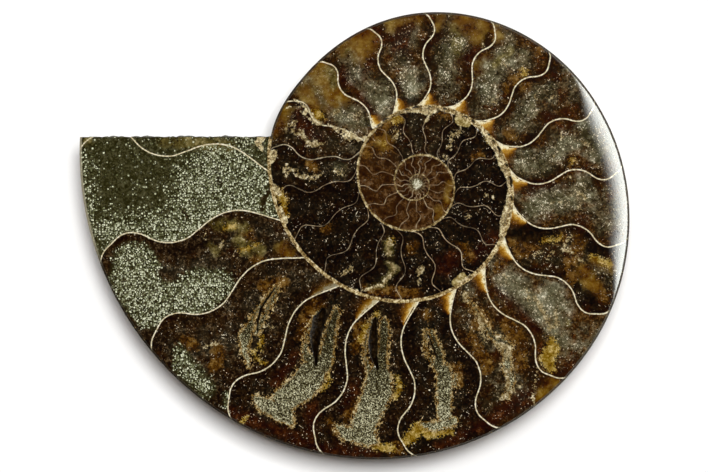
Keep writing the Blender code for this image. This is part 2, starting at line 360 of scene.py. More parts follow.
def lattice(step):
    """A triangular lattice over the whole cut, as X and Y."""
    (left, right), (front, back) = CUT_SPAN
    x, y = np.meshgrid(np.arange(left, right, step), np.arange(front, back, step * math.sqrt(0.75)))
    x = x + np.where(np.arange(len(y)) % 2, step / 2, 0)[:, None]
    return x.ravel(), y.ravel()


def inside_cut(x, y, margin):
    """True where a place is inside the outline, at least the margin from the whorls' wall."""
    radius, angle = np.hypot(x, y), tube_angle(x, y)
    theta = np.where(angle > CORNER, (angle - CORNER) % 360 + CORNER - 360, angle)
    below_mouth = (y < MOUTH_Y - margin) | (radius < venter(theta + 360)) | (theta > 180)
    to_wall = np.minimum(venter(angle) - radius, radius - venter(angle + 360))
    in_coil = (angle > SPIRAL_END - 360) | (to_wall > margin)
    return (radius < venter(theta) - RING_OFFSETS[-1] - RING_MARGIN) & below_mouth & in_coil


def fine_zone(x, y):
    """True round the slots and along the crumbly stretch of the wall."""
    found = np.zeros(np.shape(x), bool)
    for slot in SLOTS.values():
        wider = [(angle, height, half + FINE_ROUND_SLOTS) for angle, height, half in slot]
        found |= inside_stroke(x, y, wider) > 0
    radius, angle = np.hypot(x, y), tube_angle(x, y)
    first, last = PITS_FROM - FINE_ENDS, PITS_TO + FINE_ENDS
    before = (angle > first) & (angle < last) & (venter(angle) - radius < FINE_BEFORE_WALL)
    to_wall = radius - venter(angle + 360)
    beyond = (angle > first - 360) & (angle < last - 360) & (to_wall < FINE_BEYOND_WALL)
    return found | before | beyond


x, y = lattice(LATTICE)
keep = inside_cut(x, y, LATTICE_MARGIN)
keep[keep] = ~fine_zone(x[keep], y[keep])
coarse = np.stack([x[keep], y[keep]], axis=1)
x, y = lattice(FINE)
keep = inside_cut(x, y, FINE_MARGIN)
keep[keep] = fine_zone(x[keep], y[keep])
fine = np.stack([x[keep], y[keep]], axis=1)

column_angle = MOUTH + np.arange(1, COLUMNS) * 360 / COLUMNS
rim_angle = bent(column_angle, crossing(column_angle, venter))
rings = []
for offset in RING_OFFSETS:
    radius = venter(rim_angle) - offset
    rings.append(np.stack(place(radius, bent(column_angle, radius)), axis=1))

wall_angles = [CORNER]
while wall_angles[-1] < SPIRAL_END:
    wall_angles.append(wall_angles[-1] + math.degrees(POINT_STEP / float(venter(wall_angles[-1]))))
wall_line = np.stack(place(venter(wall_angles), np.array(wall_angles)), axis=1)[1:]
print(len(coarse), "coarse points,", len(fine), "fine ones,", len(wall_line), "along the wall")

# %% [markdown]
# ## The polished face
# Saw and wheel leave one flat plane. The height departs from it only at the rounded edge, on the wide bevel,
# and in the slots and pits, whose walls are steep at the top and whose floors are as uneven as the crystals
# that line them.

# %% Height of the cut
SLOT_FLOOR = 0.35  # of the depth, in the narrowest slots
SLOT_RAGGED = 0.12  # of a slot's half-width, how uneven its edge is
CRUST = 0.16  # of the depth, how uneven its floor is
PIT_LENGTH, PIT_RAGGED = 2.0, 0.35  # of a pit's width
PIT_TURN = 25  # degrees that pits may lie off the wall's direction
SLOT_BUMPS, CRUST_BUMPS, PIT_BUMPS = 0.7, 0.55, 0.45  # mm apart


def cut_height(x, y):
    """Height of the polished face: its rounded edge, and slots and pits with rough insides."""
    radius, angle = np.hypot(x, y), tube_angle(x, y)
    drop, width = edge(angle)
    outer_whorl = np.where(angle < CORNER, np.maximum(0, 1 - (venter(angle) - radius) / width), 0)
    height = -drop * outer_whorl**2
    widest = max(half for slot in SLOTS.values() for _, _, half in slot)
    for slot in SLOTS.values():
        level = np.maximum(0, inside_stroke(x, y, slot) + SLOT_RAGGED * rough(x, y, SLOT_BUMPS, 5))
        deepest = SLOT_DEPTH * (SLOT_FLOOR + (1 - SLOT_FLOOR) * max(half for _, _, half in slot) / widest)
        height -= deepest * np.minimum(1, level) ** 0.5 * (1 + CRUST * rough(x, y, CRUST_BUMPS, 6))
    for pit_angle, gap, size in zip(pit_angles, pit_gaps, pit_sizes):
        px, py = place(venter(pit_angle) - gap, pit_angle)
        turn = math.radians(pit_angle + 90 + PIT_TURN * math.sin(17 * pit_angle))
        along = (x - px) * math.cos(turn) + (y - py) * math.sin(turn)
        across = (y - py) * math.cos(turn) - (x - px) * math.sin(turn)
        away = np.hypot(along / (PIT_LENGTH * size), across / size)
        height -= PIT_DEPTH * smooth(1, 0.4, away + PIT_RAGGED * rough(x, y, PIT_BUMPS, 8))
    return height


print("depth along the widest slot, mm:", -cut_height(*stroke_line(SLOTS["slot"])[:2]).round(1))

# %% [markdown]
# ## Filling the outline
# The mouth's edge gets points of its own, chipped a little, which the broken end will share. Then the
# triangulation takes the outline, the wall's line and all the free points at once.

# %% Triangles of the cut
CHIP_DEPTH, CHIP_DROP = 0.05, 0.1  # mm, into the cut and down

rim = outer_grid[:COLUMNS, -1]
corner = outer_grid[-1, -1]
all_points = np.concatenate(points)
start, stop = all_points[corner], all_points[rim[0]]
steps = int(np.linalg.norm(stop - start) / POINT_STEP)
share = np.arange(1, steps)[:, None] / steps
mouth_line = start + (stop - start) * share
chips = np.maximum(0, rough(mouth_line[:, 0], 0, 1.3, 3)) * np.minimum(1, 8 * (share * (1 - share))[:, 0])
mouth_x, mouth_y = mouth_line[:, 0], mouth_line[:, 1] - CHIP_DEPTH * chips
mouth_edge = add_points(mouth_x, mouth_y, cut_height(mouth_x, mouth_y) - CHIP_DROP * chips)


def triangulate(flat, outline, lines):
    """Triangles over flat points inside an outline, the first points, with lines kept as edges."""
    found = delaunay_2d_cdt([Vector(p) for p in flat], lines, [list(range(outline))], 1, 1e-6)
    back = np.array([numbers[0] for numbers in found[3]])
    triangles = back[np.array(found[2])]
    a, b, c = (flat[triangles[:, i]] for i in range(3))
    turned = (b[:, 0] - a[:, 0]) * (c[:, 1] - a[:, 1]) < (b[:, 1] - a[:, 1]) * (c[:, 0] - a[:, 0])
    triangles[turned] = triangles[turned][:, ::-1]
    return triangles


all_points = np.concatenate(points)
outline = np.concatenate([rim, [corner], mouth_edge])
free = np.concatenate([wall_line, *rings, coarse, fine])
flat = np.concatenate([all_points[outline, :2], free])
wall_start = len(outline)
wall_numbers = [COLUMNS, *range(wall_start, wall_start + len(wall_line))]  # the first is the inner corner
wall_edges = list(zip(wall_numbers[:-1], wall_numbers[1:]))
free_x, free_y = free.T
cut_numbers = np.concatenate([outline, add_points(free_x, free_y, cut_height(free_x, free_y))])
cut_faces = cut_numbers[triangulate(flat, len(outline), wall_edges)]
print(len(cut_faces), "triangles in the cut")

# %% [markdown]
# ## The broken end
# The break is rough stone with the curve of the shell round it. It is triangulated flat, by radius and
# depth, with a lattice of points that are then pushed in and out, and mapped onto the bent wall.

# %% Triangles of the broken end
END_STEP, END_MARGIN = 0.7, 0.4  # mm between points, and from them to the border
END_SPAN = (18, 82), (-18, 0)  # mm of radius and of height, a little more than the end takes
END_ROUGHNESS, END_SMOOTH = 0.45, 2.5  # mm, and how far from the border the bumps reach it


def column_points(numbers):
    """Radius and height of some vertices."""
    spots = np.concatenate(points)[numbers]
    return np.stack([np.hypot(spots[:, 0], spots[:, 1]), spots[:, 2]], axis=1)


end_outline = np.concatenate([outer_grid[0, ::-1], outer_grid[-1, tucked_row + 1 :], mouth_edge])
end_flat = column_points(end_outline)
r, z = np.meshgrid(*(np.arange(*span, END_STEP) for span in END_SPAN))
r = r + np.where(np.arange(len(r)) % 2, END_STEP / 2, 0)[:, None]
r, z = r.ravel(), z.ravel()
gap = np.full(len(r), 9.0)
crossings = np.zeros(len(r), int)
for a, b in zip(end_flat, np.roll(end_flat, -1, axis=0)):
    run = b - a
    along = np.clip(((r - a[0]) * run[0] + (z - a[1]) * run[1]) / max(run @ run, 1e-9), 0, 1)
    gap = np.minimum(gap, np.hypot(r - a[0] - along * run[0], z - a[1] - along * run[1]))
    spans = (a[1] > z) != (b[1] > z)
    crossings += spans & (r < a[0] + (z - a[1]) * run[0] / (run[1] if run[1] else 1))
keep = (crossings % 2 == 1) & (gap > END_MARGIN)
r, z, gap = r[keep], z[keep], gap[keep]
end_triangles = triangulate(np.concatenate([end_flat, np.stack([r, z], axis=1)]), len(end_outline), [])
x, y = place(r, mouth_angle(r))
lumps = rough(r, z, 2.6, 11) + 0.6 * rough(r, z, 1.2, 12)
y = y + END_ROUGHNESS * smooth(0, END_SMOOTH, gap) * lumps
end_numbers = np.concatenate([end_outline, add_points(x, y, z)])
end_faces = end_numbers[end_triangles]
print(len(end_faces), "triangles in the broken end")

# %% [markdown]
# ## One closed mesh
# The flank's quads, the cut and the end share their border vertices, so they make one closed skin. A check
# stops the script if an edge is left open. The solid's own box tells where the piece goes.

# %% Join the faces and set the piece in its place
def grid_faces(before, after, rows):
    """Quads between two lines of vertex numbers, as pairs of triangles."""
    a, b, c, d = before[:, : rows - 1], after[:, : rows - 1], after[:, 1:rows], before[:, 1:rows]
    return np.concatenate([np.stack(t, axis=-1).reshape(-1, 3) for t in ((a, b, c), (a, c, d))])


tucked = tucked_row + 1
all_tucked = np.concatenate([outer_grid[:, :tucked], inner_grid])
open_rows = outer_grid[:, tucked_row:]
centre_vertex = add_points(np.zeros(1), np.zeros(1), np.full(1, -UMBILICAL_FILL))[0]
ring = np.concatenate([seam_line[-COLUMNS - 1 :], all_tucked[-1, 1:]])
fan = np.stack([ring[:-1], np.full(len(ring) - 1, centre_vertex), ring[1:]], axis=1)
flank_faces = np.concatenate(
    [
        grid_faces(all_tucked[:-1], all_tucked[1:], tucked),
        grid_faces(open_rows[:-1], open_rows[1:], open_rows.shape[1]),
        fan,
    ]
)
vertices = np.concatenate(points)
faces = np.concatenate([cut_faces, flank_faces, end_faces])
kinds = np.repeat([0, 1, 2], [len(cut_faces), len(flank_faces), len(end_faces)])
used, faces = np.unique(faces, return_inverse=True)
faces = faces.reshape(-1, 3)
vertices = vertices[used]


def check_closed(faces):
    """Stops unless every edge has two faces that run opposite ways."""
    ends = np.concatenate([faces[:, [0, 1]], faces[:, [1, 2]], faces[:, [2, 0]]])
    forward = {tuple(pair) for pair in ends.tolist()}
    open_edges = sum((b, a) not in forward for a, b in forward)
    assert len(forward) == len(ends) and not open_edges, (len(ends) - len(forward), open_edges)


check_closed(faces)
a, b, c = (vertices[faces[:, i]] for i in range(3))
volume = float(np.einsum("ij,ij->i", np.cross(a, b), c).sum() / 6)
lowest, highest = vertices.min(axis=0), vertices.max(axis=0)
shift = np.array([low[0] - lowest[0], low[1] - lowest[1], high[2] - highest[2]])
print(len(vertices), "vertices,", len(faces), "triangles,", round(volume / 1000, 1), "cm3")
print("moved by, mm:", shift.round(3))

# %% [markdown]
# ## Septa: counting walls
# The septa are the strongest pattern on the cut, and each is a thin curve that bends like a bracket between
# two whorls. One number carries them all: how many septa, with fractions, lie between the mouth and a
# place. Whole numbers are the walls, so a material can draw them at any thickness and the places between
# them know how far along a chamber they are. Each wall starts at its crest angle and bends by a template
# of offsets over the tube's height. Templates change with age, and so do the toes at the inner wall.

# %% The septum count
PHANTOM = 154.0  # degrees, where the wall before the first one would have been
CRESTS = (  # degrees
    173.7, 193.5, 211.8, 231.3, 250.5, 269.4, 288.6, 307.4, 326.5, 345.5, 365.2, 384.9, 404.9, 425.4,
    447.4, 467.8, 489.0, 508.3, 527.2, 544.4, 564, 583.3, 602.7, 622.3, 642.5, 662.9, 682.5, 702.3,
    722.3, 742.6, 763.1, 784, 804.1, 824.5, 845, 865.9, 887.6, 909.7, 931.3, 955.6, 976.2, 996.7,
    1022.3, 1043.5, 1064.6, 1085.2, 1109, 1128.5, 1149, 1167.4, 1187, 1207.6, 1230, 1250,
    *range(1270, 1700, 20),
)  # fmt: skip
# the bends: offset in degrees from the crest, by height in the tube
UPPER = {
    .56: 0, .60: -.1, .67: -1.1, .744: -3.3, .80: -3.9, .85: -3.6, .90: -2.6, .98: -.5, 1: .5,
}  # fmt: skip
OLD_BEND = {0: 1.7, .02: .8, .10: -2.7, .18: -4.9, .25: -5.2, .35: -3.9, .44: -1.7, .515: -.2} | UPPER
PINCHED_BEND = {0: -8.6, .05: -7.8, .12: -5.8, .25: -5.3, .35: -3.8, .44: -1.7, .515: -.2} | UPPER
DRAGGED_BEND = {0: -16.5, .03: -14, .09: -8, .15: -6, .25: -5.9, .35: -4, .44: -1.8, .515: -.2} | UPPER
MIDDLE_BEND = {
    0: -19, .03: -14, .06: -10, .10: -7.2, .14: -6.4, .25: -6.2, .40: -3.5, .48: -1.2, .56: 0, .61: -.2,
    .67: -1.5, .78: -3.8, .83: -3.6, .87: -2.5, .95: -.3, 1: .6,
}  # fmt: skip
YOUNG_BEND = {
    0: -8.5, .25: -8.5, .38: -7.3, .46: -3.5, .52: -1, .56: 0, .60: -.4, .67: -2.6, .75: -6, .82: -7.6,
    .9: -8, 1: -8,
}  # fmt: skip
# the toes: degrees that a septum's foot moves, by its crest's angle
TOE_ANGLES = (330, 345, 365, 385, 405, 425, 447, 468, 489)
TOES = (0, .8, 3.4, 3.2, 1.9, 3.2, 1.3, -1.8, -4.5)  # fmt: skip
TOE_HEIGHT = 0.08  # of the tube
PINCHED_FROM, DRAGGED_FROM, MIDDLE_FROM = 500, 520, 540  # degrees, where each bend takes over
YOUNG_FROM, YOUNG_TO = 845, 910  # degrees over which the young bend takes over
UNHOOK_FROM, UNHOOK_TO = 790, 860  # degrees over which the middle bend's foot loses its hook
UNHOOK, UNHOOK_HEIGHT = 12, 0.12  # degrees at the foot, and how high in the tube this reaches


def tube_height(radius, angle):
    """0 at the tube's inner wall and 1 at its venter."""
    inner = venter(angle + 360)
    return (radius - inner) / (venter(angle) - inner)


def septum_count(angle, height):
    """How many septa lie between the mouth and each place, with fractions."""
    height = np.clip(height, 0, 1)
    bends = [
        through(np.array(list(bend)), np.array(list(bend.values())), height)
        for bend in (OLD_BEND, PINCHED_BEND, DRAGGED_BEND, MIDDLE_BEND, YOUNG_BEND)
    ]
    old, pinched, dragged, middle, young = bends
    toe = np.maximum(0, 1 - height / TOE_HEIGHT) ** 2
    before = PHANTOM + old
    count = np.zeros(np.shape(angle))
    for crest in CRESTS:
        if crest < PINCHED_FROM:
            bend = old + toe * np.interp(crest, TOE_ANGLES, TOES)
        elif crest < MIDDLE_FROM:
            bend = pinched if crest < DRAGGED_FROM else dragged
        else:
            late = float(smooth(YOUNG_FROM, YOUNG_TO, crest))
            unhook = UNHOOK * smooth(UNHOOK_HEIGHT, 0, height) * float(smooth(UNHOOK_FROM, UNHOOK_TO, crest))
            bend = (middle + unhook) * (1 - late) + young * late
        wall = crest + bend
        count += np.clip((angle - before) / np.maximum(wall - before, 0.5), 0, 1)
        before = wall
    return count


test_count = septum_count(np.array([CRESTS[0], CRESTS[10]]), 0.56)
print("count at the first crest and ten walls on:", test_count.round(2))

# %% [markdown]
# ## Which whorl a corner belongs to
# Fields jump at the whorls' wall, so they are stored in face corners and not in vertices. A corner's coil
# angle is its direction plus whole turns, taken from the middle of its triangle. Values are worked out once
# for every different pair of vertex and turn.

# %% Corner angles
middles = vertices[faces].mean(axis=1)


def flank_angle(x, y):
    """The coil angle on the flank, where each whorl shows from its own seam to the next turn's seam."""
    radius, theta = np.hypot(x, y), (np.degrees(np.arctan2(y, x)) - (CORNER - 360)) % 360 + CORNER - 360
    angle = theta.copy()
    for turn in range(1, 4):
        angle = np.where(seam(theta + 360 * (turn - 1)) > radius, theta + 360 * turn, angle)
    return angle


middle_angle = np.where(
    kinds == 1, flank_angle(middles[:, 0], middles[:, 1]), tube_angle(middles[:, 0], middles[:, 1])
)
corner_theta = np.degrees(np.arctan2(vertices[faces][:, :, 1], vertices[faces][:, :, 0]))
corner_turn = np.round((middle_angle[:, None] - corner_theta) / 360).astype(int)
pair_keys = (faces * 8 + corner_turn) * 3 + kinds[:, None]
pairs, pair_of_corner = np.unique(pair_keys.ravel(), return_inverse=True)
pair_kind, pair_turn, pair_vertex = pairs % 3, pairs // 3 % 8, pairs // 24
px, py, pz = vertices[pair_vertex].T
angle = np.degrees(np.arctan2(py, px)) + 360 * pair_turn
radius = np.hypot(px, py)
on_flank = pair_kind == 1
height = np.where(on_flank, share_of(angle, radius), tube_height(radius, angle))
fields = {}  # name: one value for each pair
print(len(pairs), "pairs for", faces.size, "corners")

# %% [markdown]
# ## Walls, chambers and edges as numbers
# The count's slope, in septa per mm, turns counts into distances, so a septum keeps its thickness where its
# neighbours stand further apart. Other fields say how deep a place is in the wall between two whorls, how
# far it is from the rim, and how far it has sunk below the cut. Each chamber has two tones of its own: how
# warm its spar is, and how light.

# %% Walls and septa
# half the thickness in mm of the wall between whorls, at angles along the coil
WALL_ANGLES = (522, 560, 640, 680, 700, 745, 800, 845, 900, 1100, 1300, 1500, 1620)
WALL_HALVES = (.38, .4, .42, .48, .6, .55, .6, .34, .24, .2, .15, .1, .08)  # fmt: skip
SLOPE_STEP = 0.05  # mm
CORE_RADIUS = 1.25  # mm, the first chamber
BEVEL_ROOM, BEVEL_REACH = 3.0, 6.0  # mm, more than the bevel takes down and in from the rim


def count_near(dx, dy):
    """The septum count a little aside, on the same whorl."""
    x, y = px + dx, py + dy
    turned = angle + (np.degrees(np.arctan2(y, x) - np.arctan2(py, px)) + 180) % 360 - 180
    return septum_count(turned, tube_height(np.hypot(x, y), turned))


count = septum_count(angle, height)
slope = np.hypot(
    count_near(SLOPE_STEP, 0) - count_near(-SLOPE_STEP, 0),
    count_near(0, SLOPE_STEP) - count_near(0, -SLOPE_STEP),
)
slope = np.maximum(slope / (2 * SLOPE_STEP), 0.02)
outer_gap, inner_gap = venter(angle) - radius, radius - venter(angle + 360)
inner_wall = np.interp(angle + 360, WALL_ANGLES, WALL_HALVES) - inner_gap
outer_wall = np.where(angle >= CORNER, np.interp(angle, WALL_ANGLES, WALL_HALVES) - outer_gap, -9)
below_bevel = -pz - (1 - np.minimum(1, outer_gap / BEVEL_REACH)) * BEVEL_ROOM
fields |= {
    "count": count,
    "slope": slope,
    "height": height,
    "turn": angle / 360,
    "rim": np.where(angle < CORNER + 1, outer_gap, 9),
    "wall": np.where(angle < SPIRAL_END, np.clip(np.maximum(inner_wall, outer_wall), -2, 1), -2),
    "core": CORE_RADIUS - radius,
    "sunk": np.where(pair_kind == 0, np.maximum(0, below_bevel), 0),
}
ends = np.nonzero(pair_kind == 2)[0]
rim_vertices = np.intersect1d(pair_vertex[ends], pair_vertex[pair_kind == 1])
gaps = vertices[pair_vertex[ends]][:, None] - vertices[rim_vertices][None]
fields["border"] = np.full(len(px), 9.0)
fields["border"][ends] = np.sqrt((gaps**2).sum(axis=2)).min(axis=1)
WARMTH = (
    0, 0, .2, .2, .15, .15, .15, .6, .9, .7, .9, .9, .85, .95, .85, .9, .95, 1, .35, .2,
    *[.1] * 12, *[.35] * 8,
)  # fmt: skip
TONE = (
    0, 0, .1, .08, -.05, 0, -.1, 0, .15, -.2, .05, -.05, -.05, -.05, -.1, 0, .1, .05, 0, -.1,
    *[-.15] * 12, *[-.12] * 8,
)  # fmt: skip
chamber = np.clip(np.floor(count).astype(int), 0, len(WARMTH) - 1)
fields["warmth"], fields["tone"] = np.array(WARMTH)[chamber], np.array(TONE)[chamber]
print("count range:", count.min().round(1), count.max().round(1), "steepest slope:", slope.max().round(1))

# %% [markdown]
# ## Minerals by strokes
# After burial, minerals grew inwards from the walls: dark spar first, then pale sandy calcite, with iron
# stains between. Where each one lies is placed by strokes like the slots'. A field holds how many mm a place
# is inside the nearest stroke, below 0 outside, so the material can make the edge ragged, grainy or soft.

